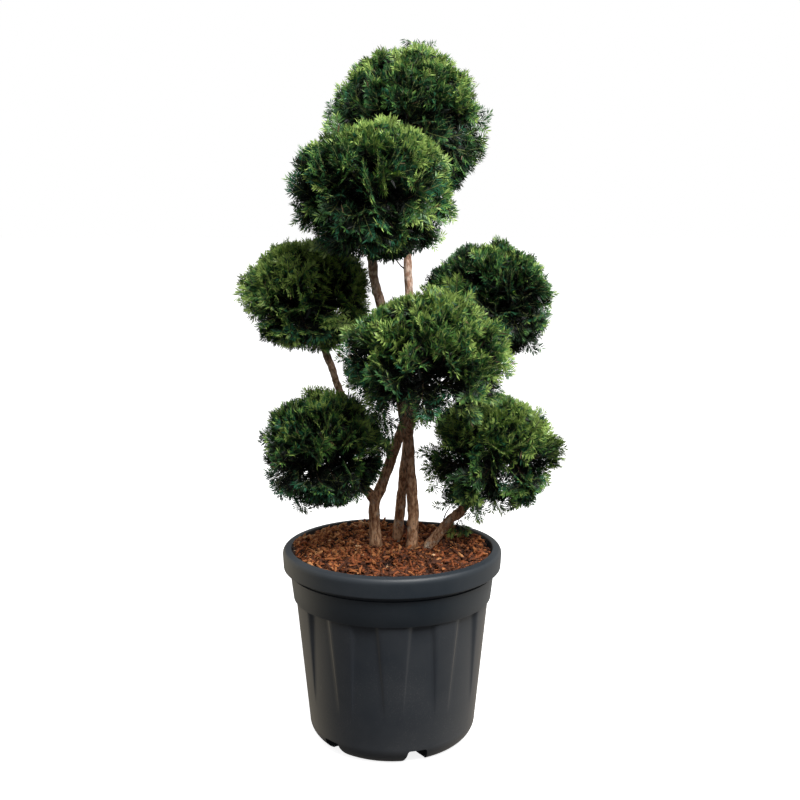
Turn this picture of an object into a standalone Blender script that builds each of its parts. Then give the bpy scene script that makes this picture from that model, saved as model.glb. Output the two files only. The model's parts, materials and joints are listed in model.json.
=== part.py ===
"""A yew trained as a cloud topiary in a ribbed nursery pot.

Four stems rise from the soil, fork into boughs and carry seven clipped balls of foliage.
Metres, +Z up, with the front towards -Y. The origin is the middle of the pot's underside.
"""

import math
import random
from typing import NamedTuple

import bmesh
import bpy
from mathutils import Matrix, Vector
from mathutils.bvhtree import BVHTree

# Clearance between pieces that touch, and how near two values count as the same
GAP = 0.0003
SAME = 1e-4

# Angles over which a shaded edge stays sharp, in degrees
POT_SHARP = 32
OTHER_SHARP = 50

# Pot: the rolled rim and the band below it
RIM_RADIUS = 0.225
LIP_HEIGHT = 0.408
ROLL_WIDTH = 0.032
ROLL_HEIGHT = 0.054
LIP_INNER_RADIUS = 0.2045
ROLL_START = -70
ROLL_END = 100
ROLL_STEPS = 5
BAND_TOP_RADIUS = 0.209
BAND_TOP = 0.352
BAND_RADIUS = 0.2035
BAND_BOTTOM = 0.3025

# Pot: the tapering wall with its rounded foot
WALL_TOP_RADIUS = 0.1982
WALL_FOOT_RADIUS = 0.1735
CORNER_WIDTH = 0.0443
CORNER_HEIGHT = 0.047
CORNER_STEPS = 3
INNER_TOP_RADIUS = 0.1846
INNER_FOOT_RADIUS = 0.1665
BAND_INNER_RADIUS = 0.2025
INNER_STEP_TOP = 0.3375
LIP_ROUNDING = 0.003
FLOOR_HEIGHT = 0.026
FLOOR_RADIUS = 0.140

# Pot: ten ribs, with a panel sunk between each pair that runs out down the wall
RIB_COUNT = 10
STEPS_PER_RIB = 6
RIB_WIDTH = math.radians(17)
PANEL_WIDTH = math.radians(11)
PANEL_DEPTH = 0.009
PANEL_END = 0.105
LEDGE = 0.001
ANGLE_MARGIN = math.radians(0.5)

# Pot: five notches round the foot
NOTCH_COUNT = 5
NOTCH_HEIGHT = 0.020
NOTCH_WIDTH = 0.046
NOTCH_TOP_WIDTH = 0.030
NOTCH_INNER_RADIUS = 0.112
NOTCH_OUTER_RADIUS = 0.200
NOTCH_BELOW = 0.010
FIRST_NOTCH = math.radians(18)

# Soil: level round the stems, uneven further out
SOIL_LEVEL = 0.389
SOIL_RINGS = (0.150, 0.085)
SOIL_BUMP = 0.006
SOIL_TILT = 0.022
FLAT_REACH = 0.050
FULL_REACH = 0.085

# Limbs: eight-sided, with rings this far apart, and a flare over the roots
LIMB_SIDES = 8
LIMB_SPACING = 0.046
FLARE = 0.45
FLARE_LENGTH = 0.016
BURIED = 0.020

# Foliage: the shares of a ball's radius where its limb ends and where its dense core ends
ENTRY = 0.93
CORE = 0.76
SWELL = 0.028
STEM_END = 0.45
STEM_SIDES = 6
STEM_TAPER = 0.8
NECK_LENGTH = 0.012

# Foliage: sprays of needles, each a toothed blade, with their reach and root depth as shares of a radius
SPRAYS_PER_BALL = 41
SPRAY_WIDTH = 0.054
SPRAY_THICKNESS = 0.0040
SPRAY_ROOT_DEPTH = 0.15
SPRAY_CLEARANCE = 0.005
SPRAY_REACH = (0.93, 1.00)
SPRAY_LIFT = 0.22
SPRAY_DROOP = 0.10
DROOP_BELOW = -0.2
SPRAY_JITTER = 0.16
SPRAY_SPREAD = (0.85, 1.20)
MOST_ROLL = 75

# Foliage: a spray's toothed outline, in shares of its length and width, and the points tested along it
SPRAY_OUTLINE = (
    (0.0, -0.13), (0.66, -0.50), (0.62, -0.17), (1.0, 0.0), (0.66, 0.17), (0.76, 0.46), (0.0, 0.13),
)
SPINE_SHARES = (0.3, 0.5, 0.8)


class Limb(NamedTuple):
    """A stem or bough: what it grows from, the ball it carries, its radii and its way through space."""

    parent: str | None
    ball: str
    foot_radius: float
    tip_radius: float
    route: tuple


LIMBS = {
    "stem_left": Limb(None, "right", 0.0127, 0.0084, (
        (-0.035, 0.050, 0.389), (-0.038, 0.050, 0.480), (-0.025, 0.052, 0.515), (-0.004, 0.056, 0.573),
        (0.041, 0.065, 0.702), (0.075, 0.080, 0.784), (0.113, 0.090, 0.857),
    )),
    "stem_back": Limb(None, "top", 0.0108, 0.0079, (
        (0.010, 0.100, 0.389), (0.019, 0.100, 0.493), (0.036, 0.110, 0.651), (0.040, 0.120, 0.758),
        (0.036, 0.130, 0.917), (0.033, 0.135, 0.980), (0.032, 0.145, 1.115),
    )),
    "stem_centre": Limb(None, "upper_front", 0.0121, 0.0068, (
        (0.041, 0.030, 0.389), (0.044, 0.028, 0.462), (0.037, 0.020, 0.573), (0.031, 0.014, 0.644),
        (0.000, -0.005, 0.795), (-0.022, -0.035, 0.902), (-0.039, -0.070, 0.989),
    )),
    "stem_right": Limb(None, "lower_right", 0.0112, 0.0092, (
        (0.076, 0.050, 0.389), (0.094, 0.050, 0.412), (0.122, 0.050, 0.448), (0.151, 0.050, 0.475),
    )),
    "bough_lower_left": Limb("stem_left", "lower_left", 0.0098, 0.0072, (
        (-0.034, 0.050, 0.490), (-0.045, 0.045, 0.503), (-0.063, 0.020, 0.529), (-0.086, -0.020, 0.561),
    )),
    "bough_left": Limb("stem_left", "left", 0.0078, 0.0061, (
        (0.004, 0.058, 0.594), (-0.012, 0.070, 0.603), (-0.043, 0.075, 0.632), (-0.085, 0.070, 0.676),
        (-0.105, 0.060, 0.716), (-0.123, 0.040, 0.775), (-0.138, 0.030, 0.816),
    )),
    "bough_front": Limb("stem_centre", "front", 0.0088, 0.0074, (
        (0.032, 0.015, 0.634), (0.036, -0.006, 0.655), (0.044, -0.050, 0.692),
    )),
}


class Ball(NamedTuple):
    """A clipped ball, and where the tip of its longest shoot lies in shares of the ball's radii."""

    centre: tuple
    across: float
    up: float
    longest: tuple


BALLS = {
    "top": Ball((0.033, 0.150, 1.283), 0.160, 0.152, (0.0, 0.0, 1.02)),
    "upper_front": Ball((-0.030, -0.135, 1.129), 0.147, 0.128, (-1.13, -0.2, 0.1)),
    "left": Ball((-0.174, 0.020, 0.919), 0.1275, 0.115, (-1.14, 0.0, 0.1)),
    "right": Ball((0.203, 0.100, 0.915), 0.130, 0.119, (1.04, 0.2, 0.0)),
    "front": Ball((0.0655, -0.150, 0.814), 0.155, 0.134, (0.1, -1.05, 0.3)),
    "lower_left": Ball((-0.1335, -0.060, 0.621), 0.120, 0.116, (-1.06, 0.0, 0.2)),
    "lower_right": Ball((0.215, 0.040, 0.588), 0.138, 0.125, (1.04, 0.0, 0.1)),
}

# Colour, roughness and metallic value of each material
FINISHES = {
    "charcoal plastic": ((0.030, 0.036, 0.042, 1.0), 0.45, 0.0),
    "shredded bark mulch": ((0.115, 0.042, 0.018, 1.0), 0.95, 0.0),
    "yew bark": ((0.130, 0.075, 0.045, 1.0), 0.90, 0.0),
    "yew foliage": ((0.020, 0.048, 0.014, 1.0), 0.55, 0.0),
}


def material(name):
    """The named finish, made once and shared."""
    made = bpy.data.materials.get(name)
    if made:
        return made
    made = bpy.data.materials.new(name)
    made.use_nodes = True
    colour, roughness, metallic = FINISHES[name]
    shader = made.node_tree.nodes["Principled BSDF"]
    shader.inputs["Base Color"].default_value = colour
    shader.inputs["Roughness"].default_value = roughness
    shader.inputs["Metallic"].default_value = metallic
    made.diffuse_color = colour
    return made


def new_object(name, bm, finish, collection=None):
    """An object made from the bmesh, which is then freed."""
    mesh = bpy.data.meshes.new(name)
    bm.to_mesh(mesh)
    bm.free()
    mesh.materials.append(material(finish))
    made = bpy.data.objects.new(name, mesh)
    (collection or bpy.context.scene.collection).objects.link(made)
    return made


def apply_modifiers(obj):
    """Replaces the object's mesh with the one its modifiers make."""
    graph = bpy.context.evaluated_depsgraph_get()
    result = bpy.data.meshes.new_from_object(obj.evaluated_get(graph))
    obj.modifiers.clear()
    obj.data = result


def join_collection(obj, collection, operation, solver="EXACT"):
    """Runs one Boolean with every object of the collection, then removes them."""
    boolean = obj.modifiers.new(operation.lower(), "BOOLEAN")
    boolean.operation = operation
    boolean.solver = solver
    boolean.operand_type = "COLLECTION"
    boolean.collection = collection
    apply_modifiers(obj)
    for used in list(collection.objects):
        bpy.data.objects.remove(used)
    bpy.data.collections.remove(collection)


def new_collection(name):
    """An empty collection in the scene, for the pieces of one Boolean."""
    made = bpy.data.collections.new(name)
    bpy.context.scene.collection.children.link(made)
    return made


def smooth(obj, angle):
    """Shades the object smooth, except over edges sharper than the angle."""
    obj.data.shade_smooth()
    obj.data.set_sharp_from_angle(angle=math.radians(angle))


# Pot and soil


def station(turn):
    """The turn with equal steps drawn together or apart, so that some fall on the ribs' and panels' edges."""
    pitch = math.tau / RIB_COUNT
    step = pitch / STEPS_PER_RIB
    rib, within = divmod(turn + 1.5 * step, pitch)
    slope = (pitch - RIB_WIDTH - PANEL_WIDTH) / 2
    widths = (RIB_WIDTH / 3, RIB_WIDTH / 3, RIB_WIDTH / 3, slope, PANEL_WIDTH, slope)
    index = min(int(within / step), STEPS_PER_RIB - 1)
    share = within / step - index
    return rib * pitch - RIB_WIDTH / 2 + sum(widths[:index]) + share * widths[index]


def in_panel(turn):
    """True on the flat of a sunk panel, for a turn that station gave."""
    pitch = math.tau / RIB_COUNT
    from_panel = turn % pitch - pitch / 2
    return abs(from_panel) < PANEL_WIDTH / 2 + ANGLE_MARGIN


def lathe(profile):
    """A closed bmesh turned from a profile of radius and height that starts and ends on the axis.

    Angles are counted from the front, -Y, towards +X, and a rib faces the front.
    """
    bm = bmesh.new()
    points = [bm.verts.new((0.0, -radius, height)) for radius, height in profile]
    edges = [bm.edges.new(pair) for pair in zip(points, points[1:])]
    bmesh.ops.spin(
        bm, geom=points + edges, axis=(0, 0, 1), cent=(0, 0, 0), angle=math.tau,
        steps=RIB_COUNT * STEPS_PER_RIB, use_merge=True,
    )
    bmesh.ops.remove_doubles(bm, verts=bm.verts, dist=SAME / 10)
    for vert in bm.verts:
        radius = math.hypot(vert.co.x, vert.co.y)
        turn = station(math.atan2(vert.co.x, -vert.co.y) % math.tau)
        vert.co.x = radius * math.sin(turn)
        vert.co.y = -radius * math.cos(turn)
    bmesh.ops.recalc_face_normals(bm, faces=bm.faces)
    return bm


def arc(centre, half_width, half_height, start, end, steps):
    """Points of an elliptical arc, from one angle to another in degrees."""
    turns = [math.radians(start + (end - start) * step / steps) for step in range(steps + 1)]
    return [(centre[0] + half_width * math.cos(t), centre[1] + half_height * math.sin(t)) for t in turns]


def inner_profile():
    """The pot's inner wall, from the middle of its floor to the lip."""
    return [
        (0.0, FLOOR_HEIGHT),
        (FLOOR_RADIUS, FLOOR_HEIGHT),
        (INNER_FOOT_RADIUS, FLOOR_HEIGHT + CORNER_HEIGHT / 2),
        (INNER_TOP_RADIUS, BAND_BOTTOM),
        (BAND_INNER_RADIUS, INNER_STEP_TOP),
        (LIP_INNER_RADIUS, LIP_HEIGHT - LIP_ROUNDING),
    ]


def inner_radius(height):
    """The pot's inner radius at a height above its inner foot."""
    wall = inner_profile()[2:]
    for (low_radius, low), (high_radius, high) in zip(wall, wall[1:]):
        if height <= high:
            return low_radius + (high_radius - low_radius) * (height - low) / (high - low)
    return LIP_INNER_RADIUS


def outer_profile():
    """The pot's outside, from the middle of its underside to the top of the rolled rim."""
    corner_centre = (WALL_FOOT_RADIUS - CORNER_WIDTH, CORNER_HEIGHT)
    panel_end_share = (PANEL_END - CORNER_HEIGHT) / (BAND_BOTTOM - CORNER_HEIGHT)
    roll_centre = (RIM_RADIUS - ROLL_WIDTH / 2, LIP_HEIGHT - ROLL_HEIGHT / 2)
    return [
        (0.0, 0.0),
        *arc(corner_centre, CORNER_WIDTH, CORNER_HEIGHT, -90, 0, CORNER_STEPS),
        (WALL_FOOT_RADIUS + (WALL_TOP_RADIUS - WALL_FOOT_RADIUS) * panel_end_share, PANEL_END),
        (WALL_TOP_RADIUS, BAND_BOTTOM - LEDGE),
        (BAND_RADIUS, BAND_BOTTOM),
        (BAND_TOP_RADIUS, BAND_TOP),
        *arc(roll_centre, ROLL_WIDTH / 2, ROLL_HEIGHT / 2, ROLL_START, ROLL_END, ROLL_STEPS),
    ]


def build_pot():
    """The nursery pot, with sunk panels, a rolled rim and a notched foot."""
    bm = lathe(outer_profile() + inner_profile()[::-1])
    for vert in bm.verts:
        radius = math.hypot(vert.co.x, vert.co.y)
        on_wall_top = abs(vert.co.z - BAND_BOTTOM + LEDGE) < SAME
        if on_wall_top and radius > INNER_TOP_RADIUS and in_panel(math.atan2(vert.co.x, -vert.co.y)):
            vert.co.xy *= 1 - PANEL_DEPTH / radius
    pot = new_object("pot", bm, "charcoal plastic")
    cutters = new_collection("notches")
    for index in range(NOTCH_COUNT):
        turn = FIRST_NOTCH + index * math.tau / NOTCH_COUNT
        add_notch(cutters, turn)
    join_collection(pot, cutters, "DIFFERENCE")
    smooth(pot, POT_SHARP)
    return pot


def add_notch(collection, turn):
    """A cutter through the foot's wall, narrower at its top, facing outwards at the turn from the front."""
    bm = bmesh.new()
    spread = NOTCH_WIDTH + (NOTCH_WIDTH - NOTCH_TOP_WIDTH) * NOTCH_BELOW / NOTCH_HEIGHT
    section = (
        (-spread / 2, -NOTCH_BELOW), (spread / 2, -NOTCH_BELOW),
        (NOTCH_TOP_WIDTH / 2, NOTCH_HEIGHT), (-NOTCH_TOP_WIDTH / 2, NOTCH_HEIGHT),
    )
    face = bm.faces.new([bm.verts.new((x, -NOTCH_INNER_RADIUS, z)) for x, z in section])
    grown = bmesh.ops.extrude_face_region(bm, geom=[face])
    outer = [part for part in grown["geom"] if isinstance(part, bmesh.types.BMVert)]
    bmesh.ops.translate(bm, verts=outer, vec=(0, NOTCH_INNER_RADIUS - NOTCH_OUTER_RADIUS, 0))
    bmesh.ops.rotate(bm, verts=bm.verts, matrix=Matrix.Rotation(turn, 3, "Z"))
    bmesh.ops.recalc_face_normals(bm, faces=bm.faces)
    new_object("notch", bm, "charcoal plastic", collection)


def soil_height(x, y):
    """The mulch's height: level near a stem, heaped and sunk away from it, and higher to the front left."""
    nearest = min(
        math.hypot(x - limb.route[0][0], y - limb.route[0][1])
        for limb in LIMBS.values() if limb.parent is None
    )
    away = min(max((nearest - FLAT_REACH) / (FULL_REACH - FLAT_REACH), 0.0), 1.0)
    heaps = math.sin(31 * x + 1.3) * math.cos(27 * y) + 0.6 * math.sin(58 * x - 44 * y)
    return SOIL_LEVEL + away * (SOIL_BUMP * heaps - SOIL_TILT * (x + 1.6 * y))


def build_soil():
    """The root ball and mulch that fill the pot."""
    top = SOIL_LEVEL
    wall_top = inner_radius(top) - GAP
    profile = [
        (0.0, FLOOR_HEIGHT + GAP),
        (FLOOR_RADIUS - GAP, FLOOR_HEIGHT + GAP),
        (INNER_FOOT_RADIUS - GAP, FLOOR_HEIGHT + CORNER_HEIGHT / 2),
        (INNER_TOP_RADIUS - GAP, BAND_BOTTOM),
        (BAND_INNER_RADIUS - GAP, INNER_STEP_TOP),
        (wall_top, top),
    ]
    profile += [(radius, top) for radius in SOIL_RINGS] + [(0.0, top)]
    bm = lathe(profile)
    for vert in bm.verts:
        if vert.co.z < top - SAME:
            continue
        vert.co.z = soil_height(vert.co.x, vert.co.y)
        radius = math.hypot(vert.co.x, vert.co.y)
        if radius > wall_top - SAME:
            vert.co.xy *= (inner_radius(vert.co.z) - GAP) / radius
    soil = new_object("soil", bm, "shredded bark mulch")
    smooth(soil, OTHER_SHARP)
    return soil


# Stems and boughs


def smooth_path(route, spacing):
    """Points along one smooth curve through the route's own points."""
    ends = [2 * route[0] - route[1]] + route + [2 * route[-1] - route[-2]]
    path = [route[0]]
    for before, start, end, after in zip(ends, ends[1:], ends[2:], ends[3:]):
        steps = max(1, round((end - start).length / spacing))
        for step in range(1, steps + 1):
            t = step / steps
            path.append(
                0.5 * (
                    2 * start + (end - before) * t
                    + (2 * before - 5 * start + 4 * end - after) * t * t
                    + (3 * start - before - 3 * end + after) * t ** 3
                )
            )
    return path


def depth_in(ball, point):
    """How far out the point lies in the ball: 0 at its middle and 1 at its clipped face."""
    offset = point - Vector(ball.centre)
    return math.hypot(offset.x / ball.across, offset.y / ball.across, offset.z / ball.up)


def cut_at_entry(path, ball):
    """The path up to where it enters the ball."""
    for index, (near, far) in enumerate(zip(path, path[1:])):
        before, after = depth_in(ball, near), depth_in(ball, far)
        if after < ENTRY:
            tip = near.lerp(far, (before - ENTRY) / (before - after))
            whole = [point for point in path[:index + 1] if (point - tip).length > LIMB_SPACING / 4]
            return whole + [tip]
    raise ValueError("the limb never reaches its ball")


def tube(bm, path, radii, sides):
    """Adds a closed tube along the path, with a radius at each of its points."""
    rings = []
    side = Vector((1.0, 0.0, 0.0))
    last = len(path) - 1
    for index, point in enumerate(path):
        along = (path[min(index + 1, last)] - path[max(index - 1, 0)]).normalized()
        side = (side - along * side.dot(along)).normalized()
        across = along.cross(side)
        turns = [math.tau * step / sides for step in range(sides)]
        rings.append([
            bm.verts.new(point + radii[index] * (math.cos(turn) * side + math.sin(turn) * across))
            for turn in turns
        ])
    for low, high in zip(rings, rings[1:]):
        for k in range(sides):
            after = (k + 1) % sides
            bm.faces.new((low[k], low[after], high[after], high[k]))
    bm.faces.new(rings[0][::-1])
    bm.faces.new(rings[-1])


def limb_path(limb):
    """The limb's path from its foot to the entry of its ball, and its length up to each point."""
    ball = BALLS[limb.ball]
    route = [Vector(point) for point in limb.route] + [Vector(ball.centre)]
    path = cut_at_entry(smooth_path(route, LIMB_SPACING), ball)
    lengths = [0.0]
    for start, end in zip(path, path[1:]):
        lengths.append(lengths[-1] + (end - start).length)
    return path, lengths


def limb_radii(limb, lengths):
    """The limb's taper, with a root flare at the foot of a stem."""
    thinning = (limb.tip_radius - limb.foot_radius) / lengths[-1]
    flare = FLARE if limb.parent is None else 0.0
    return [
        (limb.foot_radius + thinning * length) * (1 + flare * math.exp(-length / FLARE_LENGTH))
        for length in lengths
    ]


def limb_bmesh(limb, extra=0.0):
    """The limb's tube, this much thicker all round."""
    path, lengths = limb_path(limb)
    radii = [radius + extra for radius in limb_radii(limb, lengths)]
    if limb.parent is None:
        heading = (path[1] - path[0]).normalized()
        path = [path[0] - heading * BURIED, path[0], path[0] + heading * FLARE_LENGTH] + path[1:]
        radii = [radii[0], radii[0], (radii[0] + 2 * radii[1]) / 3] + radii[1:]
    bm = bmesh.new()
    tube(bm, path, radii, LIMB_SIDES)
    return bm


def build_stem(name, limb):
    """A stem, cut off flat at the soil."""
    bm = limb_bmesh(limb)
    ground = Vector((0, 0, SOIL_LEVEL + GAP))
    everything = bm.verts[:] + bm.edges[:] + bm.faces[:]
    cut = bmesh.ops.bisect_plane(bm, geom=everything, plane_co=ground, plane_no=(0, 0, 1), clear_inner=True)
    rim = [part for part in cut["geom_cut"] if isinstance(part, bmesh.types.BMEdge)]
    bmesh.ops.holes_fill(bm, edges=rim, sides=0)
    bmesh.ops.recalc_face_normals(bm, faces=bm.faces)
    stem = new_object(name, bm, "yew bark")
    smooth(stem, OTHER_SHARP)
    return stem


def build_bough(name, limb):
    """A bough, whose foot is cut to fit round the stem it grows from."""
    bough = new_object(name, limb_bmesh(limb), "yew bark")
    fitted_over = new_collection("parent of " + name)
    new_object("fattened stem", limb_bmesh(LIMBS[limb.parent], extra=GAP), "yew bark", fitted_over)
    join_collection(bough, fitted_over, "DIFFERENCE")
    keep_largest_body(bough)
    smooth(bough, OTHER_SHARP)
    return bough


def bodies_of(bm):
    """The bmesh's separate surfaces, each a list of faces, and the volume inside each."""
    unseen = set(bm.faces)
    bodies = []
    while unseen:
        body = {unseen.pop()}
        edge_of_search = list(body)
        while edge_of_search:
            face = edge_of_search.pop()
            for edge in face.edges:
                found = set(edge.link_faces) & unseen
                unseen -= found
                body |= found
                edge_of_search.extend(found)
        volume = 0.0
        for face in body:
            first = face.verts[0].co
            for second, third in zip(face.verts[1:], face.verts[2:]):
                volume += first.dot(second.co.cross(third.co)) / 6
        bodies.append((volume, list(body)))
    return sorted(bodies, key=lambda pair: pair[0])


def keep_largest_body(obj):
    """Drops loose scraps and fills sealed hollows, by keeping the outer surface of the largest body alone."""
    bm = bmesh.new()
    bm.from_mesh(obj.data)
    for _, faces in bodies_of(bm)[:-1]:
        bmesh.ops.delete(bm, geom=faces, context="FACES")
    bm.to_mesh(obj.data)
    bm.free()


# Foliage


def even_directions(count):
    """Directions spread evenly over a sphere, the first straight up."""
    golden = math.pi * (3 - math.sqrt(5))
    for index in range(count):
        height = 1 - 2 * index / (count - 0.5)
        level = math.sqrt(max(0.0, 1 - height * height))
        yield Vector((level * math.cos(golden * index), level * math.sin(golden * index), height))


def swell(direction, seed):
    """The clipped face's gentle lumps, as a share of the ball's radius."""
    x, y, z = direction
    lumps = math.sin(5.3 * x + seed) * math.cos(4.0 * y - seed) + 0.8 * math.sin(4.6 * z + 2 * seed)
    return 1 + SWELL * lumps


def in_ball(ball, shares):
    """The point this far out from the ball's middle, in shares of its radii."""
    x, y, z = shares
    return Vector(ball.centre) + Vector((x * ball.across, y * ball.across, z * ball.up))


def spray_direction(direction, rng):
    """Where a spray's tip points: outwards and a little up on top, out and drooping below."""
    lift = SPRAY_LIFT if direction.z > DROOP_BELOW else -SPRAY_DROOP
    jitter = Vector((rng.uniform(-1, 1), rng.uniform(-1, 1), rng.uniform(-1, 1)))
    return (direction + Vector((0, 0, lift)) + jitter * SPRAY_JITTER).normalized()


def spray_outline(root, tip, width, roll):
    """The outline of a blade with three teeth, and the direction square to it."""
    along = tip - root
    level = along.cross(Vector((0, 0, 1)))
    if level.length < 1e-3 * along.length:
        level = Vector((1, 0, 0))
    across = Matrix.Rotation(roll, 3, along) @ level.normalized()
    outline = [root + along * length + across * width * side for length, side in SPRAY_OUTLINE]
    return outline, along.normalized().cross(across)


def add_spray(collection, outline, middle, normal):
    """A closed blade that is thickest along its middle."""
    bm = bmesh.new()
    rim = [bm.verts.new(point) for point in outline]
    for face in (1, -1):
        peak = bm.verts.new(middle + normal * face * SPRAY_THICKNESS / 2)
        for start, end in zip(rim, rim[1:] + rim[:1]):
            bm.faces.new((start, end, peak))
    bmesh.ops.recalc_face_normals(bm, faces=bm.faces)
    new_object("spray", bm, "yew foliage", collection)


def touches_limb(points, limb_trees):
    """True where any of the points lies too near a stem or bough."""
    return any(
        tree.find_nearest(point, SPRAY_CLEARANCE)[0] is not None for tree in limb_trees for point in points
    )


def add_sprays(ball, seed, collection, limb_trees):
    """The sprays of one ball, leaving out those that would touch a limb."""
    rng = random.Random(seed)
    longest = Vector(ball.longest)
    shoots = [(longest.normalized(), longest)]
    for direction in even_directions(SPRAYS_PER_BALL):
        pointing = spray_direction(direction, rng)
        shoots.append((direction, pointing * rng.uniform(*SPRAY_REACH) * swell(pointing, seed)))
    for direction, tip_shares in shoots:
        root = in_ball(ball, direction * (CORE * swell(direction, seed) - SPRAY_ROOT_DEPTH))
        tip = in_ball(ball, tip_shares)
        width = SPRAY_WIDTH * rng.uniform(*SPRAY_SPREAD)
        roll = math.radians(rng.uniform(-MOST_ROLL, MOST_ROLL))
        outline, normal = spray_outline(root, tip, width, roll)
        spine = [root.lerp(tip, share) for share in SPINE_SHARES]
        if not touches_limb(outline + spine, limb_trees):
            add_spray(collection, outline, spine[1], normal)


def build_foliage(name, limb, seed, limb_trees):
    """One clipped ball: a dense core on a short stem, with sprays that stand out of it."""
    ball = BALLS[name]
    path, _ = limb_path(limb)
    heading = (path[-1] - path[-2]).normalized()
    bm = bmesh.new()
    bmesh.ops.create_icosphere(bm, subdivisions=3, radius=1.0)
    for vert in bm.verts:
        direction = vert.co.normalized()
        vert.co = in_ball(ball, direction * CORE * swell(direction, seed))
    foliage = new_object("foliage_" + name, bm, "yew foliage")
    fused = new_collection("sprays of " + name)
    foot = path[-1] + heading * GAP
    neck = foot + heading * NECK_LENGTH
    inside = Vector(ball.centre).lerp(foot, STEM_END)
    radius = limb.tip_radius
    bm = bmesh.new()
    tube(bm, [foot, neck, inside], [radius, radius, radius * STEM_TAPER], STEM_SIDES)
    new_object("stem", bm, "yew foliage", fused)
    add_sprays(ball, seed, fused, limb_trees)
    join_collection(foliage, fused, "UNION", solver="MANIFOLD")
    keep_largest_body(foliage)
    return foliage


def build():
    """Builds the whole plant in its pot."""
    for old in list(bpy.data.objects):
        bpy.data.objects.remove(old)
    build_pot()
    build_soil()
    limbs = []
    for name, limb in LIMBS.items():
        make = build_stem if limb.parent is None else build_bough
        limbs.append(make(name, limb))
    bpy.context.view_layer.update()
    graph = bpy.context.evaluated_depsgraph_get()
    limb_trees = [BVHTree.FromObject(limb, graph) for limb in limbs]
    for seed, limb in enumerate(LIMBS.values(), start=1):
        build_foliage(limb.ball, limb, seed, limb_trees)


build()
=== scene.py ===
"""Looks of a yew cloud topiary in its nursery pot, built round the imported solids.

Metres, +Z up, with the front towards -Y and the origin in the middle of the pot's underside.
"""

import json
import math
from typing import NamedTuple

import bmesh
import bpy
import numpy as np
from bpy.props import FloatProperty, FloatVectorProperty, IntProperty, PointerProperty
from bpy.types import Operator, Panel, PropertyGroup
from mathutils import Matrix, Vector, noise

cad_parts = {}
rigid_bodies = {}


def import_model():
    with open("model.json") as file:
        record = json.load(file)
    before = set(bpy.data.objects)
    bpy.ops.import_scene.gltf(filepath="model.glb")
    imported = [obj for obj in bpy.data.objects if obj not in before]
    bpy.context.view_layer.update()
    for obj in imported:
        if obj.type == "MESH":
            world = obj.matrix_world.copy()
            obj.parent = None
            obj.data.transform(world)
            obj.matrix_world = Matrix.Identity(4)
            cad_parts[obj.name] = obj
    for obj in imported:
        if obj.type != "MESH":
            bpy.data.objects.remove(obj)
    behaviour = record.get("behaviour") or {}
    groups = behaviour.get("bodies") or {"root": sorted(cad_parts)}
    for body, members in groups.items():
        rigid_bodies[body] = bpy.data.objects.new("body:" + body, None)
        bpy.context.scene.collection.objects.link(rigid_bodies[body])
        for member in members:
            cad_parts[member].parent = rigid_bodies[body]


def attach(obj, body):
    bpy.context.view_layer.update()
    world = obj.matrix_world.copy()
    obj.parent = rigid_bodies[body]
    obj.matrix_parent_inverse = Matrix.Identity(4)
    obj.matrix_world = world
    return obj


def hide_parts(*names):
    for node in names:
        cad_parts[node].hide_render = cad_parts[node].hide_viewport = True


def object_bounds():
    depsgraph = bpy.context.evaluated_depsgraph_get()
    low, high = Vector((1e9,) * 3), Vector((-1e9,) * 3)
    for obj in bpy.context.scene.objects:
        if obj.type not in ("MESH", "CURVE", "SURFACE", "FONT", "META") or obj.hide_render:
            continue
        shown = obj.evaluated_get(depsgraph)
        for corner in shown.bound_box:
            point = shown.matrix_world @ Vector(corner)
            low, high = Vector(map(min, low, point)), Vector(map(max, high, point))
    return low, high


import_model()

bl_info = {
    "name": "Potted Yew Cloud Topiary",
    "version": (1, 0, 0),
    "blender": (4, 5, 0),
    "location": "View3D > Sidebar > Yew",
    "description": "Builds the looks of a yew cloud topiary in its pot round the packed solids",
    "category": "Add Mesh",
}

BODY = "root"
CAD_LOW, CAD_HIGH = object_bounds()

# Pot: the rolled rim and the band below it
LIP_HEIGHT = 0.4075
LIP_SLOPE = 0.0012
LIP_INNER_RADIUS = 0.2080
LIP_ROUNDING = 0.0020
RIM_RADIUS = 0.2266
RIM_RING_SPACING = 0.0035
SHOULDER_WIDTH = 0.0075
SHOULDER_HEIGHT = 0.0110
SKIRT_RADIUS = 0.2250
SKIRT_ROUNDING = 0.0025
SKIRT_BOTTOM = 0.3665
GROOVE_RADIUS = 0.2076
GROOVE_BOTTOM = 0.3572
BAND_TOP_RADIUS = 0.2113
BAND_TOP = 0.3562
BAND_RADIUS = 0.2051
BAND_BOTTOM = 0.3025

# Pot: how deep the rim sags, how far round its deepest place is, and how wide the sag is
SAG_DEPTH = 0.006
SAG_MIDDLE = math.radians(166)
SAG_WIDTH = math.radians(24)

# Pot: the tapering wall with its rounded foot, and the hollow under its floor
WALL_TOP_RADIUS = 0.1999
WALL_FOOT_RADIUS = 0.1742
WALL_RING_SPACING = 0.012
CORNER_WIDTH = 0.0798
CORNER_DROP = 0.0522
CORNER_HEIGHT = 0.040
CORNER_START = -50
CORNER_STEPS = 12
HOLLOW_RADIUS = 0.112
HOLLOW_HEIGHT = 0.016
FLOOR_HEIGHT = 0.026
FLOOR_RADIUS = 0.140
INNER_FOOT_RADIUS = 0.1665
INNER_TOP_RADIUS = 0.1846
BAND_INNER_RADIUS = 0.2025
INNER_STEP_TOP = 0.3375

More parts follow.
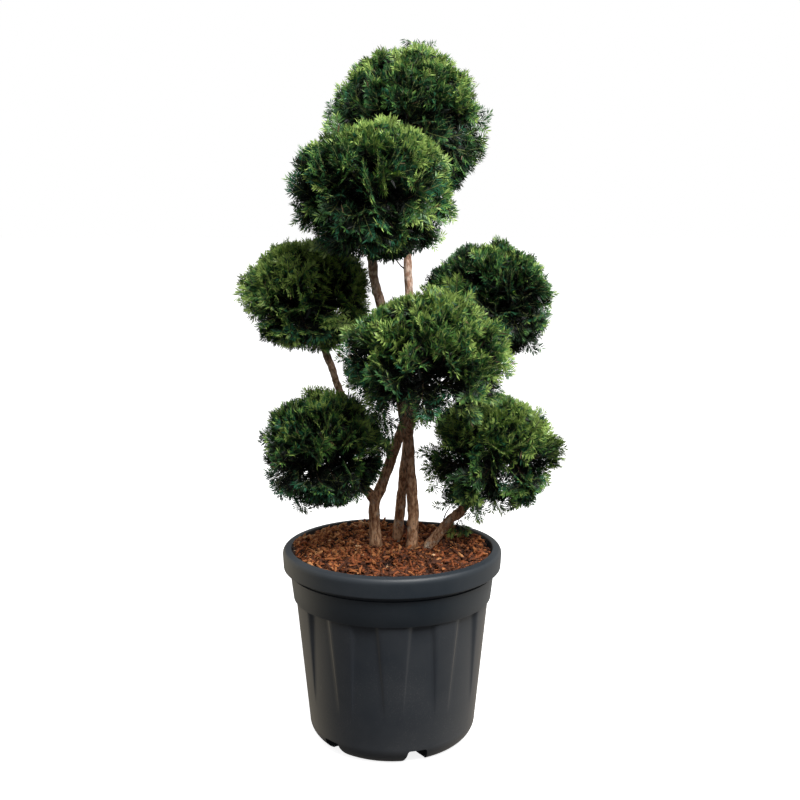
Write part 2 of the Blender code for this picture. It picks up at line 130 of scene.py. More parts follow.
# Pot: ten equal parts with a panel sunk in all but the side ones, in degrees from a rib's middle
RIB_COUNT = 10
RIB_PITCH = 360 / RIB_COUNT
PLAIN_SIDES = (2, 7)
STEPS_PER_RIB = 24
RIB_EDGE = 8.4
RIB_SPREAD = 2.6
PANEL_SLOPE = 3.4
RIB_EDGE_STEPS = (0, 4, 8, 16, 20, 24)
RIB_PHASE = math.radians(1.3)
RIB_PULL = math.radians(7.5)
PANEL_DEPTH = 0.0064
PANEL_END = 0.105
LEAST_WALL = 0.004
LEDGE = 0.001
POT_SHARP = 34

# Pot: five notches round the foot, in degrees from the front, wider outwards as far as a bend
NOTCH_TURNS = (-45.5, 17.5, 89.0, 161.0, 237.0)
NOTCH_HEIGHT = 0.0325
NOTCH_WIDTH = 0.054
NOTCH_INNER_WIDTH = 0.034
NOTCH_TOP_SHARE = 0.70
NOTCH_ROUNDING = 0.004
NOTCH_REACH = (0.108, 0.190)
NOTCH_BEND = 0.140

# Mulch: its level round the stems, and its heaps further out
SOIL_LEVEL = 0.389
SOIL_BUMP = 0.006
SOIL_TILT = 0.022
BANK_HEIGHT = 0.013
CLOD_HEIGHT = 0.0042
PIT_DEPTH = 0.0080
CLOD_PITCHES = (150, 190, 230, 270, 320)
CHIP_STEPS = (-0.25, 0.85, 1.90, 2.9)
# Mulch: painted light and shade on the chips, paler behind and to the left and darker at the front right
PAINTED_LIGHT_BEHIND = 6.0
LOW_BANK = (0.03, 0.06, 0.25)
FLAT_REACH = 0.050
FULL_REACH = 0.085
SOIL_RINGS = 50
SOIL_STEPS = 200
CLEARANCE = 0.0003
BED_DEPTH = 0.002

# Mulch: a chip's corners, and its bends as the place along it and the shares of its bow and width
CHIP_CORNERS = ((-0.5, -0.5), (0.5, -0.5), (0.5, 0.5), (-0.5, 0.5))
CHIP_ROWS = ((-0.5, 0.0, 0.55), (-0.12, 1.0, 1.0), (0.22, 0.8, 0.95), (0.5, -0.2, 0.35))

# Mulch: the least length of chips and fibres and how much longer they can be, and their room round a stem
CHIP_LENGTH = 0.0045
CHIP_LONGER = 0.0170
CHIP_WIDEST = 0.0056
CHIP_THICKEST = 0.0032
FIBRE_LENGTH = 0.007
FIBRE_LONGER = 0.016
FOOT_ROOM = 0.0155

# Mulch: single pale chips, each with its x, y, length, width, turn and pitch
PALE_CHIPS = (
    (-0.0116, -0.104, 0.030, 0.0028, 1.35, 0.35),
    (-0.168, 0.106, 0.013, 0.0075, 0.3, 0.25),
    (0.085, -0.060, 0.012, 0.0050, 2.6, 0.3),
)

# Limbs: their sides and rings, the flares over the roots and a fork, the buried part and the taper in a ball
LIMB_SIDES = 40
RING_SPACING = 0.0026
FLARE = 0.10
FLARE_LENGTH = 0.014
FORK_FLARE = 0.35
FORK_FLARE_LENGTH = 0.02
BURIED = 0.012
INNER_TAPER = 0.35

# Bark: how many lumps, plates and flakes to a metre and how high, and the share of that number upwards
BARK_LUMPS = (26, 0.0011)
BARK_PLATES = (150, 0.00075)
BARK_FLAKES = (420, 0.00035)
BARK_STRETCH = 0.38

# Bark: how high knots are, how far they reach along and round a limb, and the rings of a limb to a knot
KNOT_SIZES = (0.0012, 0.0030)
KNOT_REACH = 0.006
KNOT_SPREAD = 0.007
RINGS_TO_KNOT = 20
ROUGH_SHARP = 60

# Balls: the share of the radius where the limb enters, the face's lumps, and how sprays rise and droop
ENTRY = 0.93
SWELL = 0.028
SPRAY_LIFT = 0.42
LIFT_FADE = 0.6
SPRAY_DROOP = 0.10
DROOP_BELOW = -0.2
SPRAY_JITTER = 0.16

# Balls: where boughlets start and end, as shares of the radius, and the twigs that carry them
BOUGHLET_FOOT = 0.30
SPRAY_ROOM = 0.15
INNER_REACH = 0.80
STRAY_SNAP = 1.1
CARRIERS = 12
CARRIER_REACH = 0.16
LIMB_ROOM = 0.0015

# Needles: their colours, the tones where the next paler one starts, and the usual tones; the tones also carry
# painted light and shade, so the colours serve as lit and shaded copies of one green
SHADE, DEEP, MID, LIGHT, FRESH, BLUE, DRY = range(7)
TONE_STEPS = (0.20, 0.46, 0.74, 0.98)
PLAIN_TONE = 0.52
STRAY_TONE = 0.62
NO_LIGHT = -1.0

# Needles: their splay in degrees at a shoot's foot and how it closes, their faces and their widest place
NEEDLE_SPLAY = 58
NEEDLE_CLOSING = 30
NEEDLE_TRIANGLES = np.array([(0, 2, 1), (1, 2, 3)])
NEEDLE_WIDEST = 0.42

# Needles: the share of its box that one covers, the cells where layers are counted, and room past the solids
NEEDLE_COVER = 0.3
COVER_CELL = 0.012
OVER_REACH = 0.006

# Directions: straight up, and the turn in radians from one spray of a boughlet to the next
UPWARDS = np.array((0.0, 0.0, 1.0))
SPIRAL = 2.4

# Twigs: the number of rings of each kind, and its radii at the foot and at the tip
THICK_TWIG = (5, 0.0036, 0.0024)
THIN_TWIG = (3, 0.0022, 0.0018)
BOUGHLET_TWIG = (5, 0.0018, 0.0009)
SPRAY_TWIG = (4, 0.0009, 0.0005)
FORK_TWIG = (3, 0.0006, 0.0004)
BARE_TWIG = (4, 0.0021, 0.0012)
FIBRE = (3, 0.0006, 0.0003)

# Stage: the key lamp's place and the point that it faces, its size and its colour
KEY_PLACE = (0.9, -1.6, 3.0)
KEY_TARGET = (0.05, 0.0, 0.8)
KEY_SIZE = 1.8
KEY_COLOUR = (1.0, 0.99, 0.97)


class Limb(NamedTuple):
    """A stem or bough: what it grows from, the ball it carries, its radii and its way through space."""

    parent: str | None
    ball: str
    foot_radius: float
    tip_radius: float
    route: tuple


LIMBS = {
    "stem_left": Limb(None, "right", 0.0127, 0.0084, (
        (-0.035, 0.050, 0.389), (-0.038, 0.050, 0.480), (-0.025, 0.052, 0.515), (-0.004, 0.056, 0.573),
        (0.041, 0.065, 0.702), (0.075, 0.080, 0.784), (0.113, 0.090, 0.857),
    )),
    "stem_back": Limb(None, "top", 0.0108, 0.0079, (
        (0.0105, 0.100, 0.389), (0.020, 0.100, 0.493), (0.036, 0.110, 0.651), (0.040, 0.120, 0.758),
        (0.036, 0.130, 0.917), (0.033, 0.135, 0.980), (0.032, 0.145, 1.115),
    )),
    "stem_centre": Limb(None, "upper_front", 0.0121, 0.0084, (
        (0.041, 0.030, 0.389), (0.044, 0.028, 0.462), (0.037, 0.020, 0.573), (0.031, 0.014, 0.644),
        (0.001, -0.005, 0.795), (-0.020, -0.035, 0.902), (-0.037, -0.070, 0.989),
    )),
    "stem_right": Limb(None, "lower_right", 0.0112, 0.0092, (
        (0.076, 0.050, 0.389), (0.094, 0.050, 0.412), (0.122, 0.050, 0.448), (0.151, 0.050, 0.475),
    )),
    "bough_lower_left": Limb("stem_left", "lower_left", 0.0098, 0.0072, (
        (-0.034, 0.050, 0.490), (-0.045, 0.045, 0.503), (-0.063, 0.020, 0.529), (-0.086, -0.020, 0.561),
    )),
    "bough_left": Limb("stem_left", "left", 0.0088, 0.0074, (
        (0.004, 0.058, 0.594), (-0.012, 0.070, 0.603), (-0.043, 0.075, 0.632), (-0.086, 0.070, 0.676),
        (-0.107, 0.060, 0.716), (-0.125, 0.040, 0.775), (-0.139, 0.030, 0.816),
    )),
    "bough_front": Limb("stem_centre", "front", 0.0088, 0.0074, (
        (0.032, 0.015, 0.634), (0.036, -0.006, 0.655), (0.044, -0.050, 0.692),
    )),
}


class Ball(NamedTuple):
    """A clipped ball: its middle, radii and egg shape, its paleness, its blue share and its gaps below."""

    centre: tuple
    across: float
    up: float
    egg: float
    tone: float
    blue: float
    open_below: float


BALLS = {
    "top": Ball((0.031, 0.150, 1.268), 0.164, 0.156, 0.10, 0.16, 0.00, 0.15),
    "upper_front": Ball((-0.030, -0.135, 1.128), 0.151, 0.126, 0.04, 0.31, 0.07, 0.20),
    "left": Ball((-0.171, 0.020, 0.925), 0.1275, 0.109, 0.00, 0.62, 0.14, 0.20),
    "right": Ball((0.203, 0.100, 0.906), 0.132, 0.120, 0.00, 0.03, 0.00, 0.20),
    "front": Ball((0.0690, -0.150, 0.809), 0.157, 0.135, 0.00, 0.37, 0.02, 0.80),
    "lower_left": Ball((-0.1350, -0.060, 0.622), 0.122, 0.114, -0.05, 0.22, 0.12, 0.10),
    "lower_right": Ball((0.211, 0.040, 0.593), 0.137, 0.125, 0.00, 0.46, 0.08, 0.45),
}

# Sprays that stand away from their ball's round, each from near its foot to its tip
STRAYS = {
    "top": (
        ((0.047, 0.15, 1.4), (0.037, 0.15, 1.444)), ((0.078, 0.15, 1.396), (0.082, 0.15, 1.434)),
        ((0.162, 0.15, 1.269), (0.2, 0.15, 1.278)), ((-0.098, 0.15, 1.31), (-0.132, 0.15, 1.304)),
        ((-0.104, 0.15, 1.282), (-0.136, 0.15, 1.272)), ((-0.106, 0.15, 1.262), (-0.134, 0.15, 1.246)),
    ),
    "upper_front": (
        ((-0.086, -0.135, 1.231), (-0.119, -0.13, 1.254)),
        ((-0.17, -0.135, 1.127), (-0.195, -0.135, 1.151)),
        ((-0.161, -0.135, 1.083), (-0.182, -0.13, 1.072)),
        ((0.091, -0.135, 1.103), (0.119, -0.13, 1.09)), ((0.069, -0.13, 1.053), (0.091, -0.13, 1.037)),
        ((-0.115, -0.13, 1.042), (-0.139, -0.12, 1.02)),
    ),
    "left": (((-0.272, 0.02, 0.91), (-0.312, 0.02, 0.934)), ((-0.074, 0.0, 0.936), (-0.042, 0.0, 0.948))),
    "right": (((0.284, 0.1, 0.82), (0.3, 0.1, 0.796)),),
    "front": (
        ((-0.003, -0.13, 0.724), (-0.016, -0.14, 0.669)), ((0.012, -0.13, 0.715), (-0.001, -0.14, 0.652)),
        ((-0.026, -0.13, 0.734), (-0.045, -0.13, 0.685)), ((0.031, -0.15, 0.718), (0.045, -0.15, 0.683)),
        ((0.217, -0.12, 0.826), (0.237, -0.12, 0.801)), ((0.119, -0.15, 0.93), (0.123, -0.15, 0.975)),
        ((0.188, -0.13, 0.797), (0.223, -0.13, 0.78)), ((0.18, -0.13, 0.777), (0.212, -0.13, 0.748)),
        ((0.168, -0.13, 0.758), (0.196, -0.13, 0.729)), ((-0.038, -0.13, 0.78), (-0.08, -0.13, 0.758)),
    ),
    "lower_left": (
        ((-0.185, -0.06, 0.529), (-0.179, -0.06, 0.496)), ((-0.072, -0.05, 0.547), (-0.04, -0.03, 0.574)),
        ((-0.064, -0.05, 0.619), (-0.012, -0.03, 0.613)), ((-0.04, -0.04, 0.648), (-0.008, -0.03, 0.635)),
        ((-0.044, -0.04, 0.623), (-0.006, -0.03, 0.602)), ((-0.048, -0.05, 0.671), (-0.016, -0.05, 0.684)),
    ),
    "lower_right": (
        ((0.104, 0.03, 0.598), (0.06, 0.03, 0.605)), ((0.106, 0.03, 0.564), (0.068, 0.03, 0.558)),
        ((0.11, 0.03, 0.526), (0.075, 0.03, 0.515)), ((0.188, 0.03, 0.485), (0.186, 0.03, 0.448)),
        ((0.225, 0.03, 0.496), (0.232, 0.03, 0.466)), ((0.122, 0.045, 0.477), (0.113, 0.045, 0.486)),
        ((0.122, 0.045, 0.477), (0.13, 0.045, 0.483)), ((0.137, 0.05, 0.454), (0.148, 0.05, 0.421)),
    ),
}

# Thin bare twigs on a ball's limb below the ball, each from its foot to its tip
BARE_TWIGS = {
    "top": (((0.029, 0.133, 0.97), (0.004, 0.13, 1.0)),),
    "lower_right": (((0.107, 0.05, 0.434), (0.122, 0.045, 0.477)),),
}


# Materials


class Shader:
    """Adds nodes to one node tree and wires them up."""

    def __init__(self, tree):
        self.tree = tree

    def add(self, kind, inputs=None, **settings):
        """A new node, with settings for its options and values or sockets for its inputs."""
        node = self.tree.nodes.new("ShaderNode" + kind)
        for name, value in settings.items():
            setattr(node, name, value)
        for socket, value in (inputs or {}).items():
            self.feed(node, socket, value)
        return node

    def feed(self, node, socket, value):
        """Sets an input, or links it where the value is another node's output."""
        if isinstance(value, bpy.types.NodeSocket):
            self.tree.links.new(value, node.inputs[socket])
        else:
            node.inputs[socket].default_value = value

    def place(self):
        """The point on the object that is shaded."""
        return self.add("TexCoord").outputs["Object"]

    def noise(self, vector, scale, detail=3.0, roughness=0.5):
        """A cloudy value from 0 to 1, about this many times a metre."""
        inputs = {"Vector": vector, "Scale": scale, "Detail": detail, "Roughness": roughness}
        return self.add("TexNoise", inputs).outputs["Fac"]

    def remap(self, value, low, high, to_low=0.0, to_high=1.0):
        """The value carried from one range to another, and held inside it."""
        inputs = {"Value": value, "From Min": low, "From Max": high, "To Min": to_low, "To Max": to_high}
        return self.add("MapRange", inputs).outputs["Result"]

    def math(self, operation, first, second=0.5):
        """One arithmetic step on two values."""
        return self.add("Math", {0: first, 1: second}, operation=operation).outputs["Value"]

    def mix(self, factor, first, second, blend="MIX"):
        """One colour laid over another."""
        mixer = self.add("Mix", data_type="RGBA", blend_type=blend)
        for socket, value in ((0, factor), (6, first), (7, second)):
            self.feed(mixer, socket, value)
        return mixer.outputs[2]

    def stretched(self, vector, scale):
        """The point with its coordinates scaled, which draws a pattern out."""
        return self.add("Mapping", {"Vector": vector, "Scale": scale}).outputs["Vector"]

    def use(self, name, inputs):
        """A shared node group, with this material's own values."""
        node = self.add("Group", node_tree=bpy.data.node_groups[name])
        for socket, value in inputs.items():
            self.feed(node, socket, value)
        return node.outputs

    def bump(self, height, strength, distance):
        """A normal raised by a height."""
        inputs = {"Height": height, "Strength": strength, "Distance": distance}
        return self.add("Bump", inputs).outputs["Normal"]


def rgba(colour):
    """A colour with full alpha."""
    return (*colour[:3], 1.0)


def new_group(name, inputs, outputs):
    """An empty node group with named sockets, and its input and output nodes."""
    tree = bpy.data.node_groups.new(name, "ShaderNodeTree")
    for label, kind in inputs.items():
        tree.interface.new_socket(label, in_out="INPUT", socket_type="NodeSocket" + kind)
    for label, kind in outputs.items():
        tree.interface.new_socket(label, in_out="OUTPUT", socket_type="NodeSocket" + kind)
    shader = Shader(tree)
    source = tree.nodes.new("NodeGroupInput")
    sink = tree.nodes.new("NodeGroupOutput")
    return shader, source.outputs, sink


def build_mottle_group():
    """Cloudy patches of one colour over another, as in weathered plastic, bark and leaves."""
    inputs = {"Vector": "Vector", "Scale": "Float", "Spread": "Float", "Base": "Color", "Patches": "Color"}
    shader, given, sink = new_group("Mottle", inputs, {"Colour": "Color", "Mask": "Float"})
    cloud = shader.noise(given["Vector"], given["Scale"], 4.0, 0.6)
    low = shader.math("SUBTRACT", 0.5, given["Spread"])
    high = shader.math("ADD", 0.5, given["Spread"])
    mask = shader.remap(cloud, low, high)
    shader.feed(sink, "Mask", mask)
    shader.feed(sink, "Colour", shader.mix(mask, given["Base"], given["Patches"]))


def build_grain_group():
    """Long fibres with cracks between them, as in bark and shredded bark."""
    inputs = {"Vector": "Vector", "Scale": "Float"}
    shader, given, sink = new_group("Grain", inputs, {"Crack": "Float", "Height": "Float"})
    warped = shader.noise(given["Vector"], given["Scale"], 6.0, 0.7)
    fine = shader.noise(given["Vector"], shader.math("MULTIPLY", given["Scale"], 3.1), 3.0, 0.6)
    crack = shader.remap(warped, 0.36, 0.47, 1.0, 0.0)
    shader.feed(sink, "Crack", crack)
    solid = shader.math("SUBTRACT", warped, shader.math("MULTIPLY", crack, 0.4))
    shader.feed(sink, "Height", shader.math("ADD", solid, shader.math("MULTIPLY", fine, 0.3)))


def build_scuff_group():
    """Dust in small specks, and thin pale scratches that run every way."""
    inputs = {"Vector": "Vector", "Dust": "Float", "Scratches": "Float"}
    shader, given, sink = new_group("Scuffs", inputs, {"Mask": "Float"})
    veil = shader.remap(shader.noise(given["Vector"], 9.0, 5.0, 0.65), 0.42, 0.75)
    specks = shader.remap(shader.noise(given["Vector"], 420.0, 2.0, 0.5), 0.56, 0.74)
    dust = shader.math("MULTIPLY", shader.math("MULTIPLY", veil, specks), given["Dust"])
    total = dust
    for turn, squeeze in ((0.4, (8.0, 8.0, 190.0)), (1.3, (170.0, 120.0, 9.0))):
        turned = {"Vector": given["Vector"], "Scale": squeeze, "Rotation": (turn, 0.3, turn)}
        mapped = shader.add("Mapping", turned).outputs["Vector"]
        lines = shader.remap(shader.noise(mapped, 1.0, 2.0, 0.5), 0.735, 0.79)
        patch = shader.remap(shader.noise(given["Vector"], 14.0, 2.0, 0.5), 0.50, 0.62)
        lines = shader.math("MULTIPLY", shader.math("MULTIPLY", lines, patch), given["Scratches"])
        total = shader.math("MAXIMUM", total, lines)
    shader.feed(sink, "Mask", total)


def new_material(name):
    """An empty material: its node adder and its Principled shader."""
    made = bpy.data.materials.new(name)
    made.use_nodes = True
    shader = Shader(made.node_tree)
    return made, shader, made.node_tree.nodes["Principled BSDF"]


def pot_material(finish, name, gloss, sheen):
    """Charcoal plastic: bluer on the rim and its band, the band's darker colour painted shade under the rim,
    dusty and scuffed, with a moulded grain.
    """
    made, shader, surface = new_material(name)
    surface.inputs["Specular IOR Level"].default_value = gloss
    place = shader.place()
    height = shader.add("SeparateXYZ", {"Vector": place}).outputs["Z"]
    # The rim's bluer, darker plastic reaches down over the band, where its darkness is painted shade under
    # the rim; the rim and band also get less dust
    on_rim_or_band = shader.remap(height, BAND_BOTTOM - 0.002, BAND_BOTTOM + 0.004)
    plain = shader.mix(on_rim_or_band, rgba(finish.wall_colour), rgba(finish.rim_and_band_shade_colour))
    worn = shader.mix(0.5, plain, rgba(finish.dust_colour), "SCREEN")
    patches = {"Vector": place, "Scale": 5.0, "Spread": 0.22, "Base": plain, "Patches": worn}
    mottled = shader.use("Mottle", patches)
    low_dirt = shader.remap(height, 0.10, 0.0, 0.0, 0.15)
    dirt = shader.math("MULTIPLY", low_dirt, shader.noise(place, 26.0, 5.0, 0.7))
    dirty = shader.mix(dirt, shader.mix(0.22, plain, mottled["Colour"]), rgba(finish.dust_colour))
    dust = shader.remap(on_rim_or_band, 0.0, 1.0, finish.dust, 0.4 * finish.dust)
    scuffs = shader.use("Scuffs", {"Vector": place, "Dust": dust, "Scratches": finish.scratches})
    colour = shader.mix(scuffs["Mask"], dirty, rgba(finish.dust_colour))
    shader.feed(surface, "Base Color", colour)
    least = finish.roughness
    shader.feed(surface, "Roughness", shader.remap(mottled["Mask"], 0.0, 1.0, least, least + 0.1))
    shader.feed(surface, "Normal", shader.bump(shader.noise(place, 900.0, 2.0), 0.06, 0.0004))
    shader.feed(surface, "Sheen Weight", sheen)
    shader.feed(surface, "Sheen Roughness", 0.35)
    shader.feed(surface, "Sheen Tint", rgba(finish.sheen_colour))
    return made


def bark_material(finish):
    """Flaky yew bark: red-brown, paler and pinker high up, with dark cracks, partly the bark's own colour and
    partly painted shade, and grey lichen.
    """
    made, shader, surface = new_material("yew_bark")
    place = shader.place()
    height = shader.add("SeparateXYZ", {"Vector": place}).outputs["Z"]
    rise = shader.remap(height, 0.50, 0.95)
    base = shader.mix(rise, rgba(finish.low_colour), rgba(finish.high_colour))
    patches = shader.mix(rise, rgba(finish.patch_colour), rgba(finish.pale_colour))
    flakes = shader.use("Mottle", {
        "Vector": shader.stretched(place, (1.0, 1.0, 0.45)), "Scale": 150.0, "Spread": 0.07,
        "Base": base, "Patches": patches,
    })
    lichen_mask = shader.remap(shader.noise(place, 34.0, 5.0, 0.7), 0.56, 0.66, 0.0, 0.75)
    near_foot = shader.remap(height, 0.50, 0.40, 0.35, 1.0)
    lichen_share = shader.math("MULTIPLY", lichen_mask, near_foot)
    lichen = shader.mix(lichen_share, flakes["Colour"], rgba(finish.lichen_colour))
    grain = shader.use("Grain", {"Vector": shader.stretched(place, (1.0, 1.0, 0.30)), "Scale": 210.0})
    # The cracks' near-black colour: partly the bark's own, partly painted shade in them
    cracked = shader.mix(shader.math("MULTIPLY", grain["Crack"], 0.75), lichen, rgba(finish.crack_shade_colour))
    shader.feed(surface, "Base Color", cracked)
    shader.feed(surface, "Roughness", shader.remap(grain["Crack"], 0.0, 1.0, 0.72, 0.95))
    shader.feed(surface, "Normal", shader.bump(grain["Height"], 0.7, 0.0012))
    return made


def plant_material(name, colour, variety, roughness, scale=38.0):
    """Needles, twigs or chips of one colour, a little darker or paler from place to place."""
    made, shader, surface = new_material(name)
    surface.inputs["Specular IOR Level"].default_value = 0.35
    place = shader.place()
    darker = tuple(part * (1 - variety) for part in colour)
    paler = tuple(part * (1 + variety) for part in colour)
    patches = {"Vector": place, "Scale": scale, "Spread": 0.16, "Base": rgba(darker), "Patches": rgba(paler)}
    mottled = shader.use("Mottle", patches)
    shader.feed(surface, "Base Color", mottled["Colour"])
    rough = shader.remap(mottled["Mask"], 0.0, 1.0, roughness - 0.05, roughness + 0.05)
    shader.feed(surface, "Roughness", rough)
    return made


def chip_material(name, colour):
    """Shredded bark of one colour, with fibres along it and darker cracks, partly the shred's own colour and
    partly painted shade.
    """
    made, shader, surface = new_material(name)
    place = shader.place()
    # The crack colour: partly the shred's own, partly painted shade in the cracks between fibres
    dark = tuple(part * 0.35 for part in colour)
    pale = tuple(part * 1.25 for part in colour)
    mottled = shader.use("Mottle", {
        "Vector": place, "Scale": 110.0, "Spread": 0.14, "Base": rgba(colour), "Patches": rgba(pale),
    })
    grain = shader.use("Grain", {"Vector": place, "Scale": 520.0})
    shader.feed(surface, "Base Color", shader.mix(grain["Crack"], mottled["Colour"], rgba(dark)))
    shader.feed(surface, "Roughness", shader.remap(grain["Crack"], 0.0, 1.0, 0.8, 0.9))
    shader.feed(surface, "Normal", shader.bump(grain["Height"], 0.5, 0.0008))
    return made


# Pieces


def new_piece(name, mesh, slot, *nodes):
    """A finished piece of the object, riding on its body and standing for these CAD nodes."""
    piece = bpy.data.objects.new(name, mesh)
    bpy.context.scene.collection.objects.link(piece)
    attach(piece, BODY)
    if nodes:
        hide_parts(*nodes)
    return piece


def mesh_from_bmesh(name, bm, material, sharp=None):
    """The bmesh as a mesh with one material, shaded smooth except over edges sharper than an angle."""
    mesh = bpy.data.meshes.new(name)
    bm.to_mesh(mesh)
    bm.free()
    mesh.materials.append(material)
    if sharp is not None:
        mesh.shade_smooth()
        mesh.set_sharp_from_angle(angle=math.radians(sharp))
    return mesh


def mesh_from_arrays(name, points, triangles, kinds, materials):
    """A joined mesh of many small things, with the material number of each of its triangles."""
    mesh = bpy.data.meshes.new(name)
    mesh.vertices.add(points.size // 3)
    mesh.vertices.foreach_set("co", np.asarray(points, np.float32).ravel())
    mesh.loops.add(3 * len(triangles))
    mesh.loops.foreach_set("vertex_index", np.asarray(triangles, np.int32).ravel())
    mesh.polygons.add(len(triangles))
    mesh.polygons.foreach_set("loop_start", np.arange(0, 3 * len(triangles), 3, dtype=np.int32))
    mesh.polygons.foreach_set("material_index", np.asarray(kinds, np.int32))
    mesh.update(calc_edges=True)
    for material in materials:
        mesh.materials.append(material)
    return mesh


def tube_faces(rings, sides):
    """The triangles of a closed tube whose points go ring by ring, each ring the same way round."""
    faces = []
    for ring in range(rings - 1):
        for corner in range(sides):
            low, after = ring * sides + corner, ring * sides + (corner + 1) % sides
            faces += [(low, after, after + sides), (low, after + sides, low + sides)]
    last = (rings - 1) * sides
    for corner in range(1, sides - 1):
        faces += [(0, corner + 1, corner), (last, last + corner, last + corner + 1)]
    return np.array(faces)


def copied_faces(faces, points):
    """The triangles of many things with the same faces, one thing's points after another's."""
    return (faces[None] + (np.arange(len(points)) * points.shape[1])[:, None, None]).reshape(-1, 3)


def lengths_of(vectors):
    """Each row's length, as a column."""
    return np.linalg.norm(vectors, axis=-1, keepdims=True)


def unit(vectors):
    """Each row made one long."""
    return vectors / np.maximum(lengths_of(vectors), 1e-12)


def joined(parts):
    """Several sets of shoots, or of needles, as one."""
    return type(parts[0])(*(np.concatenate(rows) for rows in zip(*parts)))


# Pot


def lathe(profile, steps):
    """A closed bmesh turned from a profile of radius and height that starts and ends on the axis."""
    bm = bmesh.new()
    points = [bm.verts.new((0.0, -radius, height)) for radius, height in profile]
    edges = [bm.edges.new(pair) for pair in zip(points, points[1:])]
    bmesh.ops.spin(
        bm, geom=points + edges, axis=(0, 0, 1), cent=(0, 0, 0), angle=math.tau, steps=steps, use_merge=True,
    )
    bmesh.ops.remove_doubles(bm, verts=bm.verts, dist=1e-5)
    bmesh.ops.recalc_face_normals(bm, faces=bm.faces)
    return bm


def arc(centre, half_width, half_height, start, end, steps):
    """Points of an elliptical arc, from one angle to another in degrees."""
    turns = [math.radians(start + (end - start) * step / steps) for step in range(steps + 1)]
    return [(centre[0] + half_width * math.cos(t), centre[1] + half_height * math.sin(t)) for t in turns]


def straight(start, end, spacing):
    """Evenly spaced points between two points of a profile, without either."""
    steps = max(1, round(math.dist(start, end) / spacing))
    shares = [step / steps for step in range(1, steps)]
    return [(start[0] + (end[0] - start[0]) * t, start[1] + (end[1] - start[1]) * t) for t in shares]


def inner_profile():
    """The pot's inner wall, from the middle of its floor to the lip."""
    lip = (LIP_INNER_RADIUS + LIP_ROUNDING, LIP_HEIGHT - LIP_ROUNDING)
    return [
        (0.0, FLOOR_HEIGHT),
        (FLOOR_RADIUS, FLOOR_HEIGHT),
        (INNER_FOOT_RADIUS, FLOOR_HEIGHT + CORNER_HEIGHT / 2),
        (INNER_TOP_RADIUS, BAND_BOTTOM),
        (BAND_INNER_RADIUS, INNER_STEP_TOP),
        (LIP_INNER_RADIUS, LIP_HEIGHT - LIP_ROUNDING),
        *arc(lip, LIP_ROUNDING, LIP_ROUNDING, 155, 90, 3),
    ]


def inner_radius(height):
    """The pot's inner radius at a height above its inner foot."""
    radii, heights = zip(*inner_profile()[2:6])
    return float(np.interp(height, heights, radii))


def outer_profile():
    """The pot's outside, from under the middle of its floor to the top of the rolled rim."""
    corner = (WALL_FOOT_RADIUS - CORNER_WIDTH, CORNER_HEIGHT)
    wall_foot, wall_top = (WALL_FOOT_RADIUS, CORNER_HEIGHT), (WALL_TOP_RADIUS, BAND_BOTTOM - LEDGE)
    skirt = (SKIRT_RADIUS - SKIRT_ROUNDING, SKIRT_BOTTOM + SKIRT_ROUNDING)
    shoulder = (RIM_RADIUS - SHOULDER_WIDTH, LIP_HEIGHT - LIP_SLOPE - SHOULDER_HEIGHT)
    face_bottom, face_top = (SKIRT_RADIUS, skirt[1]), (RIM_RADIUS, shoulder[1])
    brow = arc(shoulder, SHOULDER_WIDTH, SHOULDER_HEIGHT, 0, 78, 8)
    return [
        (0.0, HOLLOW_HEIGHT),
        (HOLLOW_RADIUS - 0.002, HOLLOW_HEIGHT),
        (HOLLOW_RADIUS, HOLLOW_HEIGHT - 0.002),
        (HOLLOW_RADIUS + 0.0015, 0.0),
        *arc(corner, CORNER_WIDTH, CORNER_DROP, CORNER_START, 0, CORNER_STEPS),
        *straight(wall_foot, wall_top, WALL_RING_SPACING),
        wall_top,
        (BAND_RADIUS - 0.0012, BAND_BOTTOM),
        (BAND_RADIUS, BAND_BOTTOM + 0.0015),
        (BAND_TOP_RADIUS, BAND_TOP),
        (GROOVE_RADIUS, GROOVE_BOTTOM),
        (GROOVE_RADIUS, SKIRT_BOTTOM),
        *arc(skirt, SKIRT_ROUNDING, SKIRT_ROUNDING, -90, 0, 6),
        *straight(face_bottom, face_top, RIM_RING_SPACING),
        *brow,
        *straight(brow[-1], (LIP_INNER_RADIUS + LIP_ROUNDING, LIP_HEIGHT), RIM_RING_SPACING),
    ]


def foot_radius(height):
    """The pot's outer radius at a height on its rounded foot."""
    below = (CORNER_HEIGHT - height) / CORNER_DROP
    return WALL_FOOT_RADIUS - CORNER_WIDTH * (1 - math.sqrt(max(1 - below * below, 0.0)))


def panel_depth(height):
    """How deep the panels are at this height: full under the band, and none below their feet."""
    if height > BAND_BOTTOM - LEDGE / 2:
        return 0.0
    return PANEL_DEPTH * max(0.0, (height - PANEL_END) / (BAND_BOTTOM - PANEL_END))


def rib_edges(depth):
    """Degrees from one rib's middle to the next: both edges of the panel between them, and of its flat."""
    share = depth / PANEL_DEPTH
    slope = PANEL_SLOPE * max(share, 0.12)
    edge = RIB_EDGE - RIB_SPREAD * (1 - share)
    return 0.0, edge, edge + slope, RIB_PITCH - edge - slope, RIB_PITCH - edge, RIB_PITCH


def rib_turn(turn, depth):
    """The turn with equal steps drawn together over a panel's sloping sides, which need more of them."""
    pitch = math.tau / RIB_COUNT
    rib, within = divmod(turn + 1e-6, pitch)
    steps = within / pitch * STEPS_PER_RIB
    return rib * pitch + math.radians(float(np.interp(steps, RIB_EDGE_STEPS, rib_edges(depth))))


def panel_share(turn, depth):
    """How sunk the wall is at this turn from the front: 0 on a rib and 1 on a panel's flat."""
    part, within = divmod(math.degrees(turn), RIB_PITCH)
    if part in PLAIN_SIDES:
        return 0.0
    share = float(np.interp(within, rib_edges(depth), (0.0, 0.0, 1.0, 1.0, 0.0, 0.0)))
    return 0.5 * share + 0.5 * share * share * (3 - 2 * share)


